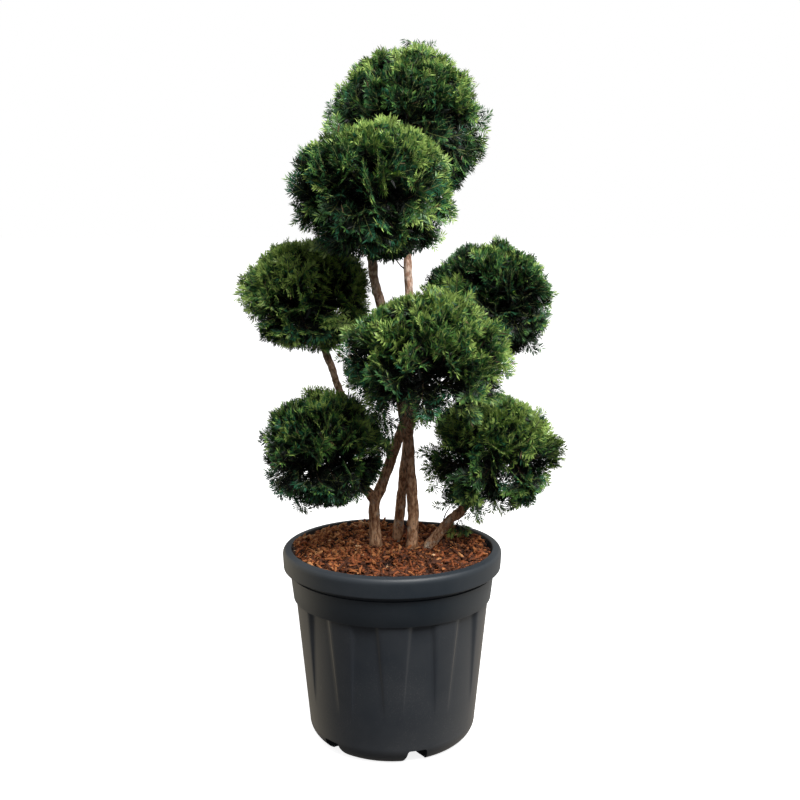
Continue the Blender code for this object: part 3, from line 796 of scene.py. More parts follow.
def notch_cutter(turn):
    """A cutter through the foot's wall, narrower at its top, facing outwards at the turn from the front."""
    bm = bmesh.new()
    near, far = NOTCH_REACH
    below = NOTCH_HEIGHT / 2
    bmesh.ops.create_cube(bm, size=1.0)
    bmesh.ops.scale(bm, verts=bm.verts, vec=(NOTCH_WIDTH, far - near, NOTCH_HEIGHT + below))
    bmesh.ops.translate(bm, verts=bm.verts, vec=(0, -(near + far) / 2, (NOTCH_HEIGHT - below) / 2))
    everything = bm.verts[:] + bm.edges[:] + bm.faces[:]
    bmesh.ops.bisect_plane(bm, geom=everything, plane_co=(0, -NOTCH_BEND, 0), plane_no=(0, 1, 0))
    inner = [vert for vert in bm.verts if vert.co.y > -near - 1e-4]
    bmesh.ops.scale(bm, verts=inner, vec=(NOTCH_INNER_WIDTH / NOTCH_WIDTH, 1, 1))
    top = [vert for vert in bm.verts if vert.co.z > 0]
    bmesh.ops.scale(bm, verts=top, vec=(NOTCH_TOP_SHARE, 1, 1))
    upper = [
        edge for edge in bm.edges
        if all(vert.co.z > 0 for vert in edge.verts) and abs(edge.verts[0].co.y - edge.verts[1].co.y) > 0.01
    ]
    bmesh.ops.bevel(
        bm, geom=upper, offset=NOTCH_ROUNDING, offset_type="OFFSET", segments=4, profile=0.5,
        affect="EDGES", material=-1,
    )
    bmesh.ops.rotate(bm, verts=bm.verts, matrix=Matrix.Rotation(turn, 3, "Z"))
    mesh = bpy.data.meshes.new("notch")
    bm.to_mesh(mesh)
    bm.free()
    cutter = bpy.data.objects.new("notch", mesh)
    bpy.context.scene.collection.objects.link(cutter)
    return cutter


def cut_notches(piece):
    """Cuts the notches out of the pot's foot."""
    for turn in NOTCH_TURNS:
        cutter = notch_cutter(math.radians(turn))
        boolean = piece.modifiers.new("notch", "BOOLEAN")
        boolean.operation = "DIFFERENCE"
        boolean.object = cutter
        graph = bpy.context.evaluated_depsgraph_get()
        cut = bpy.data.meshes.new_from_object(piece.evaluated_get(graph))
        piece.modifiers.clear()
        piece.data = cut
        bpy.data.objects.remove(cutter)


def rim_sag(turn, height):
    """How far the rim has sunk, at the back only, where the soft plastic gives way."""
    share = min(max((height - BAND_TOP) / (LIP_HEIGHT - BAND_TOP), 0.0), 1.0)
    return SAG_DEPTH * share * math.exp(-((turn - SAG_MIDDLE) / SAG_WIDTH) ** 2)


def build_pot(finish):
    """The nursery pot, with sunk panels, a rolled rim and a notched foot."""
    bm = lathe(outer_profile() + inner_profile()[::-1], RIB_COUNT * STEPS_PER_RIB)
    for vert in bm.verts:
        radius = math.hypot(vert.co.x, vert.co.y)
        depth = panel_depth(vert.co.z)
        turn = rib_turn(math.atan2(vert.co.x, -vert.co.y) % math.tau, depth)
        if vert.co.z > PANEL_END and radius > inner_radius(vert.co.z) + LEAST_WALL:
            radius -= depth * panel_share(turn, depth)
        turn += RIB_PHASE - RIB_PULL * math.sin(2 * turn) * abs(math.sin(turn))
        vert.co.x = radius * math.sin(turn)
        vert.co.y = -radius * math.cos(turn)
        vert.co.z -= rim_sag(turn, vert.co.z)
    mesh = mesh_from_bmesh("pot_shell", bm, pot_material(finish, "charcoal_plastic", 0.5, finish.sheen))
    piece = new_piece("pot_shell", mesh, "charcoal_plastic", "pot")
    cut_notches(piece)
    piece.data.name = "pot_shell"
    # A copy of the plastic without gloss or bloom: painted shade inside the notches and the hollow, where the
    # floor would shut out the room's reflections
    piece.data.materials.append(pot_material(finish, "charcoal_recess", 0.0, 0.0))
    piece.data.materials.append(pot_material(finish, "charcoal_rim", 0.5, 0.0))
    # Faces inside the notches and the hollow take the glossless copy as painted shade; faces above the band's
    # foot take the rim's copy
    for face in piece.data.polygons:
        height, radius = face.center.z, face.center.xy.length
        if height < NOTCH_HEIGHT + LEDGE and radius < foot_radius(height) - LEDGE:
            face.material_index = 1
        elif height > BAND_BOTTOM:
            face.material_index = 2
    piece.data.shade_smooth()
    piece.data.set_sharp_from_angle(angle=math.radians(POT_SHARP))
    return piece


# Mulch


def clods(x, y):
    """The mulch's clods, from about -1 in a pit to 1 on top of a clod."""
    total = 0.0
    for index, pitch in enumerate(CLOD_PITCHES):
        turn = 2.4 * index
        total = total + np.sin((x * math.cos(turn) + y * math.sin(turn)) * pitch + 1.7 * index)
    return np.clip(total / 2.2, -1.0, 1.0)


def to_feet(x, y):
    """How far places are from the nearest stem's foot."""
    feet = np.array([limb.route[0][:2] for limb in LIMBS.values() if limb.parent is None])
    return np.min(np.hypot(np.subtract.outer(x, feet[:, 0]), np.subtract.outer(y, feet[:, 1])), axis=-1)


def soil_height(x, y):
    """The mulch's height: level near a stem, heaped and sunk away from it, and banked up against the rim."""
    away = np.clip((to_feet(x, y) - FLAT_REACH) / (FULL_REACH - FLAT_REACH), 0.0, 1.0)
    lumps = clods(x, y)
    heaps = np.sin(31 * x + 1.3) * np.cos(27 * y) + 0.6 * np.sin(58 * x - 44 * y)
    banked = np.clip((np.hypot(x, y) - 0.10) / 0.08, 0.0, 1.0) * np.clip(0.5 + 5 * y, 0.0, 1.0)
    middle, spread, least = LOW_BANK
    banked = BANK_HEIGHT * banked * np.clip(np.abs(x - middle) / spread, least, 1.0)
    heaps = SOIL_BUMP * heaps + CLOD_HEIGHT * lumps - PIT_DEPTH * np.clip(-lumps - 0.4, 0.0, 1.0)
    return SOIL_LEVEL + away * (heaps - SOIL_TILT * (x + 1.6 * y) + banked)


def build_mulch_bed(finish):
    """The root ball under the chips, with a crumbly top."""
    wall_top = inner_radius(SOIL_LEVEL) - CLEARANCE
    profile = [(max(radius - CLEARANCE, 0.0), height) for radius, height in inner_profile()[:5]]
    profile = [(radius, height + CLEARANCE * (height == FLOOR_HEIGHT)) for radius, height in profile]
    profile += [(wall_top * (1 - ring / SOIL_RINGS), SOIL_LEVEL) for ring in range(SOIL_RINGS + 1)]
    bm = lathe(profile, SOIL_STEPS)
    for vert in bm.verts:
        if vert.co.z < SOIL_LEVEL - 1e-4:
            continue
        radius = vert.co.xy.length
        crumbs = noise.fractal(vert.co * 90, 0.8, 2.0, 4) * 0.0022 + noise.noise(vert.co * 38) * 0.002
        vert.co.z = float(soil_height(vert.co.x, vert.co.y)) - BED_DEPTH + crumbs
        if radius > wall_top - 1e-4:
            vert.co.xy *= (inner_radius(vert.co.z) - CLEARANCE) / radius
    mesh = mesh_from_bmesh("mulch_bed", bm, chip_material("mulch_dark", finish.dark_colour), ROUGH_SHARP)
    return new_piece("mulch_bed", mesh, "bark_mulch", "soil")


def scatter(rng, count):
    """Random places on the mulch, as x and y, evenly spread over its disc."""
    radius = inner_radius(SOIL_LEVEL) * np.sqrt(rng.random(count))
    turn = rng.random(count) * math.tau
    return radius * np.cos(turn), radius * np.sin(turn)


def chip_shades_with_painted_light(x, y, rng):
    """The colour of a shred at each place, from 0, the darkest: paler on a clod than in a pit as painted
    shade in the pits, and paler behind and to the left, darker at the front right, as painted light and
    shade.
    """
    by_chance = rng.normal(0, 0.9, len(x))
    return np.digitize(by_chance + 1.2 * clods(x, y) + PAINTED_LIGHT_BEHIND * (y - 0.5 * x), CHIP_STEPS)


def headings(yaw, pitch):
    """Directions at these turns about the upright and these angles above level."""
    return np.stack([np.cos(yaw) * np.cos(pitch), np.sin(yaw) * np.cos(pitch), np.sin(pitch)], -1)


def build_chips(finish, materials):
    """Shreds and chips of bark lying on the bed, each a bent bar with ragged ends."""
    rng = np.random.default_rng(21)
    count = finish.chips
    x, y = scatter(rng, count)
    length = CHIP_LENGTH + CHIP_LONGER * rng.random(count) ** 3.0
    width = np.minimum(length * rng.uniform(0.18, 0.75, count), CHIP_WIDEST)
    thick = np.minimum(width * rng.uniform(0.3, 0.9, count), CHIP_THICKEST)
    yaw = rng.uniform(0, math.tau, count)
    pitch = rng.normal(0, 0.38, count)
    kinds = chip_shades_with_painted_light(x, y, rng)
    for index, mark in enumerate(PALE_CHIPS):
        x[index], y[index], length[index], width[index], yaw[index], pitch[index] = mark
        kinds[index] = len(materials) - 1
    roll = rng.normal(0, 0.6, count)
    along = headings(yaw, pitch)
    level = unit(np.cross(along, UPWARDS))
    up = np.cross(level, along)
    side = level * np.cos(roll)[:, None] + up * np.sin(roll)[:, None]
    face = np.cross(side, along)
    lift = rng.uniform(-0.0015, 0.0045, count) + np.abs(np.sin(pitch)) * length * 0.3
    middle = np.stack([x, y, soil_height(x, y) + lift], -1)
    ends = middle[:, None, :] + along[:, None, :] * (length[:, None] * np.array([-0.5, 0.5]))[..., None]
    room = inner_radius(SOIL_LEVEL) - 0.0015 - np.hypot(ends[..., 0], ends[..., 1]).max(axis=1)
    in_pit = np.clip(-clods(x, y) - 0.30, 0.0, 1.0) * 1.2
    kept = (room > 0) & (to_feet(x, y) > FOOT_ROOM) & (rng.random(count) > in_pit)
    bend = rng.normal(0, 0.14, count) * length
    rings = []
    for share, offset, size in CHIP_ROWS:
        for across, over in CHIP_CORNERS:
            ragged = rng.uniform(-0.09, 0.09, count) * length * (abs(share) > 0.4)
            rings.append(
                middle + along * (share * length + ragged)[:, None] + face * (offset * bend)[:, None]
                + side * (across * width * size)[:, None] + face * (over * thick)[:, None]
            )
    points = np.stack(rings, 1)[kept]
    faces = tube_faces(len(CHIP_ROWS), len(CHIP_CORNERS))
    kinds = np.repeat(kinds[kept], len(faces))
    mesh = mesh_from_arrays("mulch_chips", points, copied_faces(faces, points), kinds, materials)
    return new_piece("mulch_chips", mesh, "bark_mulch")


def build_fibres(finish, materials):
    """Long thin fibres among the chips, each a bowed three-sided strand."""
    rng = np.random.default_rng(22)
    count = finish.fibres
    x, y = scatter(rng, count)
    kinds = chip_shades_with_painted_light(x, y, rng)
    yaw = rng.uniform(0, math.tau, count)
    pitch = rng.normal(0, 0.25, count)
    along = headings(yaw, pitch)
    chord = along * (FIBRE_LENGTH + FIBRE_LONGER * rng.random(count) ** 2)[:, None]
    middle = np.stack([x, y, soil_height(x, y) + rng.uniform(0.0005, 0.0050, count)], -1)
    foot = middle - chord / 2
    reach = np.maximum(np.hypot(foot[:, 0], foot[:, 1]), np.hypot(*(foot + chord)[:, :2].T))
    kept = (reach < inner_radius(SOIL_LEVEL) - 0.002) & (to_feet(x, y) > FOOT_ROOM + 0.001)
    bow = rng.normal(0, 0.0020, (count, 3)) * (1.0, 1.0, 0.6)
    strands = plain_shoots(foot, chord, bow, rng.normal(0, 1, (count, 3))).only(kept)
    points, faces = twig_tubes(strands, *FIBRE)
    kinds = np.repeat(kinds[kept], len(faces))
    mesh = mesh_from_arrays("mulch_fibres", points, copied_faces(faces, points), kinds, materials)
    return new_piece("mulch_fibres", mesh, "bark_mulch")


def mulch_materials(finish):
    """The colours of the shreds, darkest first."""
    names = ("brown", "red", "orange", "tan", "pale")
    return [chip_material("mulch_" + name, getattr(finish, name + "_colour")) for name in names]


# Limbs


def smooth_path(route, spacing):
    """Points along one smooth curve through the route's own points."""
    ends = np.array([2 * route[0] - route[1], *route, 2 * route[-1] - route[-2]])
    path = [route[0]]
    for before, start, end, after in zip(ends, ends[1:], ends[2:], ends[3:]):
        steps = max(1, round(float(np.linalg.norm(end - start)) / spacing))
        for step in range(1, steps + 1):
            t = step / steps
            path.append(
                0.5 * (
                    2 * start + (end - before) * t
                    + (2 * before - 5 * start + 4 * end - after) * t * t
                    + (3 * start - before - 3 * end + after) * t ** 3
                )
            )
    return np.array(path)


def depth_in(ball, points):
    """How far out points lie in the ball: 0 at its middle and 1 at its clipped face."""
    away = (points - np.array(ball.centre)) / ball_size(ball)
    narrowed = 1 - ball.egg * np.clip(away[..., 2:], -1, 1)
    return np.linalg.norm(np.concatenate([away[..., :2] / narrowed, away[..., 2:]], -1), axis=-1)


class LimbLine(NamedTuple):
    """A limb's middle line to its ball's middle, its radius at each point, and how many lie outside."""

    points: np.ndarray
    radii: np.ndarray
    outside: int


def limb_line(limb):
    """The limb's own taper up to its ball, and a thinner end that carries on to the ball's middle."""
    ball = BALLS[limb.ball]
    route = [np.array(point) for point in limb.route] + [np.array(ball.centre)]
    path = smooth_path(route, RING_SPACING)
    steps = np.linalg.norm(np.diff(path, axis=0), axis=1)
    if limb.parent is None:
        heading = unit(path[1] - path[0])
        buried = [path[0] - heading * BURIED * share for share in (1.0, 0.75, 0.5, 0.25)]
        path = np.vstack([buried, path])
        steps = np.concatenate([np.full(len(buried), BURIED / len(buried)), steps])
    lengths = np.concatenate([[0.0], np.cumsum(steps)])
    if limb.parent is None:
        lengths = lengths - BURIED
    outside = int(np.argmax(depth_in(ball, path) < ENTRY))
    at_entry = lengths[outside]
    radii = limb.foot_radius + (limb.tip_radius - limb.foot_radius) * np.clip(lengths / at_entry, 0.0, 1.0)
    inside = np.clip((lengths - at_entry) / (lengths[-1] - at_entry), 0.0, 1.0)
    radii = radii * (1 - (1 - INNER_TAPER) * inside)
    if limb.parent is None:
        radii = radii * (1 + FLARE * np.exp(-np.maximum(lengths, 0.0) / FLARE_LENGTH))
    else:
        radii = radii * (1 + FORK_FLARE * np.exp(-lengths / FORK_FLARE_LENGTH))
    return LimbLine(path, radii, outside)


def bark_relief(point, seed):
    """How far the bark stands out at a point of a limb: long plates, thin flakes and slow lumps."""
    (lump_pitch, lump), (plate_pitch, plate), (flake_pitch, flake) = BARK_LUMPS, BARK_PLATES, BARK_FLAKES
    spot = Vector(point)
    spot.z *= BARK_STRETCH
    lumps = noise.noise(Vector(point) * lump_pitch + Vector((seed, 0, 0))) * lump
    plates = noise.noise(spot * plate_pitch + Vector((0, seed, 0)))
    plates = min(max(plates * 2.2, -1.0), 0.8) * plate
    flakes = noise.fractal(spot * flake_pitch, 0.7, 2.1, 3) * flake
    return lumps + plates + flakes


def build_limb(name, limb, seed, material):
    """One stem or bough with its bark's relief, its knots and its end inside the ball."""
    line = limb_line(limb)
    count = len(line.points)
    bm = bmesh.new()
    bmesh.ops.create_cone(
        bm, cap_ends=True, cap_tris=False, segments=LIMB_SIDES, radius1=1.0, radius2=1.0, depth=1.0,
    )
    upright = [edge for edge in bm.edges if abs(edge.verts[0].co.z - edge.verts[1].co.z) > 0.5]
    bmesh.ops.subdivide_edges(bm, edges=upright, cuts=count - 2)
    tangents = unit(np.gradient(line.points, axis=0))
    sides, side = [], np.array((1.0, 0.0, 0.0))
    for along in tangents:
        side = unit(side - along * side.dot(along))
        sides.append(side)
    rng = np.random.default_rng(seed)
    knots = [
        (rng.integers(6, max(7, line.outside)), rng.uniform(0, math.tau), rng.uniform(*KNOT_SIZES))
        for _ in range(max(1, line.outside // RINGS_TO_KNOT))
    ]
    for vert in bm.verts:
        ring = round((vert.co.z + 0.5) * (count - 1))
        turn = math.atan2(vert.co.y, vert.co.x)
        outwards = sides[ring] * math.cos(turn) + np.cross(tangents[ring], sides[ring]) * math.sin(turn)
        radius = line.radii[ring]
        place = line.points[ring] + outwards * radius
        bulge = bark_relief(place, seed)
        for knot_ring, knot_turn, size in knots:
            away = (ring - knot_ring) * RING_SPACING
            round_by = (1 - math.cos(turn - knot_turn)) * radius * 2
            bulge += size * math.exp(-(away / KNOT_REACH) ** 2 - (round_by / KNOT_SPREAD) ** 2)
        vert.co = Vector(place + outwards * bulge)
    bmesh.ops.recalc_face_normals(bm, faces=bm.faces)
    mesh = mesh_from_bmesh("bark_" + name, bm, material, ROUGH_SHARP)
    return new_piece("bark_" + name, mesh, "yew_bark", name)


# Foliage


def even_directions(count):
    """Directions spread evenly over a sphere, one to a row."""
    index = np.arange(count)
    height = 1 - 2 * (index + 0.5) / count
    level = np.sqrt(1 - height * height)
    turn = math.pi * (3 - math.sqrt(5)) * index
    return np.stack([level * np.cos(turn), level * np.sin(turn), height], -1)


def swell(direction, seed):
    """The clipped face's gentle lumps, as a share of the ball's radius."""
    x, y, z = direction.T
    lumps = np.sin(5.3 * x + seed) * np.cos(4.0 * y - seed) + 0.8 * np.sin(4.6 * z + 2 * seed)
    return 1 + SWELL * lumps


def ball_size(ball):
    """A ball's radii along x, y and z."""
    return np.array((ball.across, ball.across, ball.up))


class Shoots(NamedTuple):
    """Many shoots, one to a row: each a bowed line, with the side that its forks and needles spread to."""

    foot: np.ndarray
    chord: np.ndarray
    bow: np.ndarray
    side: np.ndarray
    tone: np.ndarray
    blue: np.ndarray
    limit: np.ndarray

    def at(self, share):
        """The point this far along each shoot."""
        share = np.reshape(share, (-1, 1))
        return self.foot + self.chord * share + self.bow * (4 * share * (1 - share))

    def axes(self, share):
        """Each shoot's own directions this far along it: onwards, to its side, and out of its plane."""
        share = np.reshape(share, (-1, 1))
        heading = unit(self.chord + self.bow * (4 - 8 * share))
        side = unit(self.side - heading * np.sum(self.side * heading, axis=1, keepdims=True))
        return heading, side, np.cross(heading, side)

    def length(self):
        """The length of each shoot's chord."""
        return np.linalg.norm(self.chord, axis=1)

    def only(self, chosen):
        """The chosen shoots."""
        return Shoots(*(rows[chosen] for rows in self))


def boughlets(ball, seed, foliage, rng):
    """The bare twigs that carry the sprays: each leaves the ball's middle and bends over near its face."""
    count = round(foliage.boughlets_per_area * 4 * math.pi * ball.across ** 2)
    direction = unit(even_directions(count) + rng.normal(0, 0.07, (count, 3)))
    direction = direction[rng.random(count) > ball.open_below * np.clip(-1.6 * direction[:, 2] - 0.2, 0, 1)]
    count = len(direction)
    drooping = direction[:, 2] < DROOP_BELOW
    lift = np.where(drooping, -SPRAY_DROOP, SPRAY_LIFT)[:, None] * UPWARDS
    pointing = unit(direction + 0.5 * lift + rng.uniform(-1, 1, (count, 3)) * SPRAY_JITTER)
    lean = np.where(drooping, -0.5, 0.8)[:, None] * UPWARDS + rng.normal(0, 0.55, (count, 3))
    lean = unit(lean - pointing * np.sum(lean * pointing, axis=1, keepdims=True))
    inner = rng.random(count) < foliage.inner_share
    reach = rng.triangular(0.91, 0.97, 1.02, count) * np.where(inner, INNER_REACH, 1.0)
    reach = reach * swell(pointing, seed)
    centre, size = np.array(ball.centre), ball_size(ball)
    tip = centre + pointing * (reach[:, None] - SPRAY_ROOM) * size
    behind = np.radians(rng.uniform(8, 36, count))[:, None]
    foot = centre + (pointing * np.cos(behind) - lean * np.sin(behind)) * BOUGHLET_FOOT * size
    chord = tip - foot
    bow = (rng.normal(0, 0.02, (count, 3)) - lean * 0.10) * lengths_of(chord)
    # Painted light: sprays pointing up and towards the right are paler; boughlets that end inside get painted
    # shade
    painted_light = 0.14 * pointing[:, 0] - 0.03 * pointing[:, 1] + foliage.top_painted_light * pointing[:, 2]
    tone = PLAIN_TONE + ball.tone + painted_light + rng.normal(0, 0.06, count) - 0.25 * inner
    blue = 0.30 + ball.blue - 0.24 * pointing[:, 2]
    return Shoots(foot, chord, bow, np.cross(pointing, lean), tone, blue, reach)


def sprays_of(twigs, ball, foliage, rng):
    """The main shoots of the sprays round each boughlet's end, the first of them its own tip."""
    parts = []
    total = len(twigs.foot)
    for index in range(foliage.sprays):
        share = np.full(total, 1.0) if index == 0 else rng.uniform(0.40, 0.98, total)
        heading, side, over = twigs.axes(share)
        turn = (index * SPIRAL + rng.uniform(-0.5, 0.5, total))[:, None]
        spread = np.radians(np.full(total, 8.0) if index == 0 else rng.uniform(16, 48, total))[:, None]
        round_about = side * np.cos(turn) + over * np.sin(turn)
        foot = twigs.at(share)
        outwards = unit((foot - np.array(ball.centre)) / ball_size(ball))
        lift = SPRAY_LIFT * np.clip(1 + outwards[:, 2:] / LIFT_FADE, 0, 1) * UPWARDS
        way = unit(heading * np.cos(spread) + round_about * np.sin(spread) + lift)
        ragged = rng.random(total) < foliage.ragged_share
        proud = rng.uniform(0.03, 0.15, total) * (1 - 0.6 * np.abs(outwards[:, 2]))
        limit = twigs.limit + np.where(ragged, proud, 0.0)
        chord = way * (foliage.spray_length * rng.uniform(0.75, 1.2, total))[:, None]
        chord = fitted(foot, chord, limit, ball)
        facing = outwards * 0.6 + UPWARDS * 0.15 + rng.normal(0, 0.45, (total, 3))
        tone = twigs.tone + rng.normal(0, foliage.tone_variety, total)
        blue = (rng.random(total) < twigs.blue).astype(float)
        bow = (rng.normal(0, 0.02, (total, 3)) - outwards * 0.03) * lengths_of(chord)
        parts.append(Shoots(foot, chord, bow, np.cross(facing, way), tone, blue, limit))
    return joined(parts)


def strays_of(name, twigs, rng):
    """The main shoots of the sprays that stand away from the ball, each from the boughlet nearest to it."""
    ball = BALLS[name]
    foot, tip = np.array(STRAYS[name]).transpose(1, 0, 2)
    ends = twigs.at(np.full(len(twigs.foot), 0.9))
    nearest = np.argmin(np.linalg.norm(foot[:, None] - ends[None], axis=2), axis=1)
    foot = np.where(depth_in(ball, foot)[:, None] < STRAY_SNAP, ends[nearest], foot)
    chord = tip - foot
    total = len(chord)
    facing = np.array((0.0, -1.0, 0.4)) + rng.normal(0, 0.25, (total, 3))
    bow = rng.normal(0, 0.03, (total, 3)) * lengths_of(chord)
    tone = STRAY_TONE + ball.tone + rng.normal(0, 0.08, total)
    return Shoots(foot, chord, bow, np.cross(facing, chord), tone, np.zeros(total), np.full(total, 2.0))


def fitted(foot, chord, limit, ball):
    """The chords cut short where they would pass a ball's limit."""
    inside, outside = depth_in(ball, foot), depth_in(ball, foot + chord)
    room = np.clip((limit - inside) / np.maximum(outside - inside, 1e-6), 0.3, 1.0)
    return chord * np.where(outside > limit, room, 1.0)[:, None]


def side_shoots(parents, ball, foliage, rng):
    """The shoots that fork off a spray's main one, left and right in turn, and bend back to its heading."""
    parts = []
    total = len(parents.foot)
    for index in range(foliage.forks):
        share = 0.12 + 0.76 * (index + rng.uniform(0.15, 0.85, total)) / foliage.forks
        sign = np.where((np.arange(total) + index) % 2 == 0, 1.0, -1.0)[:, None]
        heading, side, over = parents.axes(share)
        spread = np.radians(rng.uniform(36, 54, total))[:, None]
        way = heading * np.cos(spread) + side * sign * np.sin(spread)
        way = unit(way + over * rng.normal(0, 0.14, (total, 1)))
        reach = foliage.fork_length * (1.2 - 0.8 * share) * rng.uniform(0.7, 1.2, total)
        foot = parents.at(share)
        chord = fitted(foot, way * reach[:, None], parents.limit, ball)
        forward = unit(heading - way * np.sum(heading * way, axis=1, keepdims=True))
        bow = -forward * 0.07 * lengths_of(chord)
        tone = parents.tone + rng.normal(0, 0.10, total)
        parts.append(Shoots(foot, chord, bow, np.cross(over, way), tone, parents.blue, parents.limit))
    return joined(parts)


class Needles(NamedTuple):
    """Many needles, one to a row: foot, direction, direction of the width, size, tone and blueness."""

    foot: np.ndarray
    way: np.ndarray
    across: np.ndarray
    length: np.ndarray
    width: np.ndarray
    tone: np.ndarray
    blue: np.ndarray


def needles_on(shoots, bare, foliage, rng):
    """Two ranks of needles along each shoot from where its bare foot ends, closing in towards its tip."""
    counts = np.maximum(2, np.round(shoots.length() * (1 - bare) / foliage.needle_spacing)).astype(int)
    parts = []
    for station in range(counts.max()):
        some = shoots.only(counts > station)
        total = len(some.foot)
        for sign in (1.0, -1.0):
            place = station + 0.5 + 0.22 * sign + rng.uniform(-0.2, 0.2, total)
            step = np.clip(place / counts[counts > station], 0, 1)
            share = bare + (1 - bare) * step
            heading, side, over = some.axes(share)
            splay = np.radians(NEEDLE_SPLAY - NEEDLE_CLOSING * step ** 3 + rng.normal(0, 5, total))[:, None]
            rise = rng.normal(0.20, 0.13, (total, 1))
            way = unit(heading * np.cos(splay) + side * sign * np.sin(splay) + over * rise)
            flat = unit(np.cross(over, way))
            roll = rng.normal(0, 0.28, total)[:, None]
            across = flat * np.cos(roll) + np.cross(way, flat) * np.sin(roll)
            length = foliage.needle_length * (0.72 + 0.40 * np.sin(math.pi * step ** 0.8))
            length = length * rng.uniform(0.82, 1.12, total)
            width = foliage.needle_width * rng.uniform(0.85, 1.15, total)
            # Tips paler than feet: partly fresh growth, partly painted light on the sprays' outer ends
            tone = some.tone + foliage.tip_light * (step - 0.5)
            parts.append(Needles(some.at(share), way, across, length, width, tone, some.blue))
    return joined(parts)


def inner_needles(twigs, foliage, rng):
    """Old needles on the boughlets, turned every way, which shade the ball's inside."""
    count = foliage.inner_needles
    some = twigs.only(np.repeat(np.arange(len(twigs.foot)), count))
    total = len(some.foot)
    share = rng.uniform(0.0, 0.95, total)
    heading, side, over = some.axes(share)
    turn = rng.uniform(0, math.tau, (total, 1))
    outwards = side * np.cos(turn) + over * np.sin(turn)
    splay = np.radians(rng.uniform(45, 90, total))[:, None]
    way = unit(heading * np.cos(splay) + outwards * np.sin(splay))
    across = unit(np.cross(way, rng.normal(0, 1, (total, 3))))
    length = foliage.needle_length * rng.uniform(1.2, 2.0, total)
    width = foliage.needle_width * rng.uniform(1.4, 2.4, total)
    return Needles(some.at(share), way, across, length, width, np.full(total, NO_LIGHT), np.zeros(total))


def needle_points(needles, rng):
    """Four points for each needle: its foot, its two edges where it is widest, and its tip."""
    face = np.cross(needles.way, needles.across)
    half = needles.across * (needles.width / 2)[:, None]
    arch = face * (rng.normal(-0.05, 0.05, len(half)) * needles.length)[:, None]
    along = needles.way * needles.length[:, None]
    middle = needles.foot + along * NEEDLE_WIDEST + arch
    return np.stack([needles.foot, middle - half, middle + half, needles.foot + along + arch * 0.3], 1)


def cover_above(points, ball, foliage):
    """How many layers of needles lie over each needle, looking in from outside the ball."""
    way = unit((points - np.array(ball.centre)) / ball_size(ball))
    rows = round(math.pi * ball.across / COVER_CELL)
    row = np.minimum((np.arccos(way[:, 2]) / math.pi * rows).astype(int), rows - 1)
    around = np.round(2 * rows * np.sin((row + 0.5) / rows * math.pi)).astype(int)
    column = ((np.arctan2(way[:, 1], way[:, 0]) / math.tau + 0.5) * around).astype(int)
    cell = row * 4 * rows + column
    order = np.lexsort((-depth_in(ball, points), cell))
    rank = np.empty(len(cell))
    rank[order] = np.arange(len(cell)) - np.searchsorted(cell[order], cell[order])
    return rank * NEEDLE_COVER * foliage.needle_length * foliage.needle_width / COVER_CELL ** 2


def clear_of_limbs(points, ball):
    """True for each point that no stem or bough outside the ball comes near."""
    kept = np.ones(len(points), bool)
    for limb in LIMBS.values():
        line = limb_line(limb)
        outside = line.points[:line.outside:2]
        for place, radius in zip(outside, line.radii[:line.outside:2]):
            if depth_in(ball, place) < 1.25:
                kept &= np.linalg.norm(points - place, axis=1) > radius + LIMB_ROOM
    return kept


def in_reach(points):
    """True for each point inside the solids' box."""
    low, high = np.array(CAD_LOW) - OVER_REACH, np.array(CAD_HIGH) + OVER_REACH
    return np.all((points > low) & (points < high), axis=-1)


def build_needles(name, twigs, sprays, forks, seed, foliage, materials):
    """All the needles of one ball as one joined mesh."""
    ball = BALLS[name]
    rng = np.random.default_rng(seed + 100)
    outer = joined([needles_on(sprays, 0.12, foliage, rng), needles_on(forks, 0.06, foliage, rng)])
    points = needle_points(outer, rng)
    tone = outer.tone - foliage.under_shade * cover_above(points[:, 3], ball, foliage)
    tone -= foliage.inner_shade * np.clip(foliage.lit_depth - depth_in(ball, points[:, 3]), 0, 1)
    kinds = np.digitize(tone, TONE_STEPS)
    kinds = np.where((outer.blue > 0) & (kinds == MID), BLUE, kinds)
    kinds = np.where(rng.random(len(kinds)) < foliage.dry_share, DRY, kinds)
    inner = needle_points(inner_needles(twigs, foliage, rng), rng)
    points = np.concatenate([points, inner])
    kinds = np.concatenate([kinds, np.full(len(inner), SHADE)])
    kept = in_reach(points[:, -1]) & clear_of_limbs(points[:, -1], ball) & clear_of_limbs(points[:, 1], ball)
    points, kinds = points[kept], np.repeat(kinds[kept], len(NEEDLE_TRIANGLES))
    mesh = mesh_from_arrays(
        "needles_" + name, points, copied_faces(NEEDLE_TRIANGLES, points), kinds, materials,
    )
    return new_piece("needles_" + name, mesh, "yew_foliage", "foliage_" + name)


def twig_tubes(shoots, rings, thick, thin):
    """Three-sided tubes along shoots: their points and triangles."""
    turns = np.arange(3) * math.tau / 3
    rows = []
    for share in np.linspace(0, 1, rings):
        place = shoots.at(np.full(len(shoots.foot), share))
        _, side, over = shoots.axes(np.full(len(shoots.foot), share))
        radius = thick + (thin - thick) * share
        for turn in turns:
            rows.append(place + (side * math.cos(turn) + over * math.sin(turn)) * radius)
    return np.stack(rows, 1), tube_faces(rings, 3)


def plain_shoots(foot, chord, bow, side):
    """Shoots that need no tone, no share of blue and no limit."""
    blank = np.zeros(len(chord))
    return Shoots(foot, chord, bow, side, blank, blank, blank)


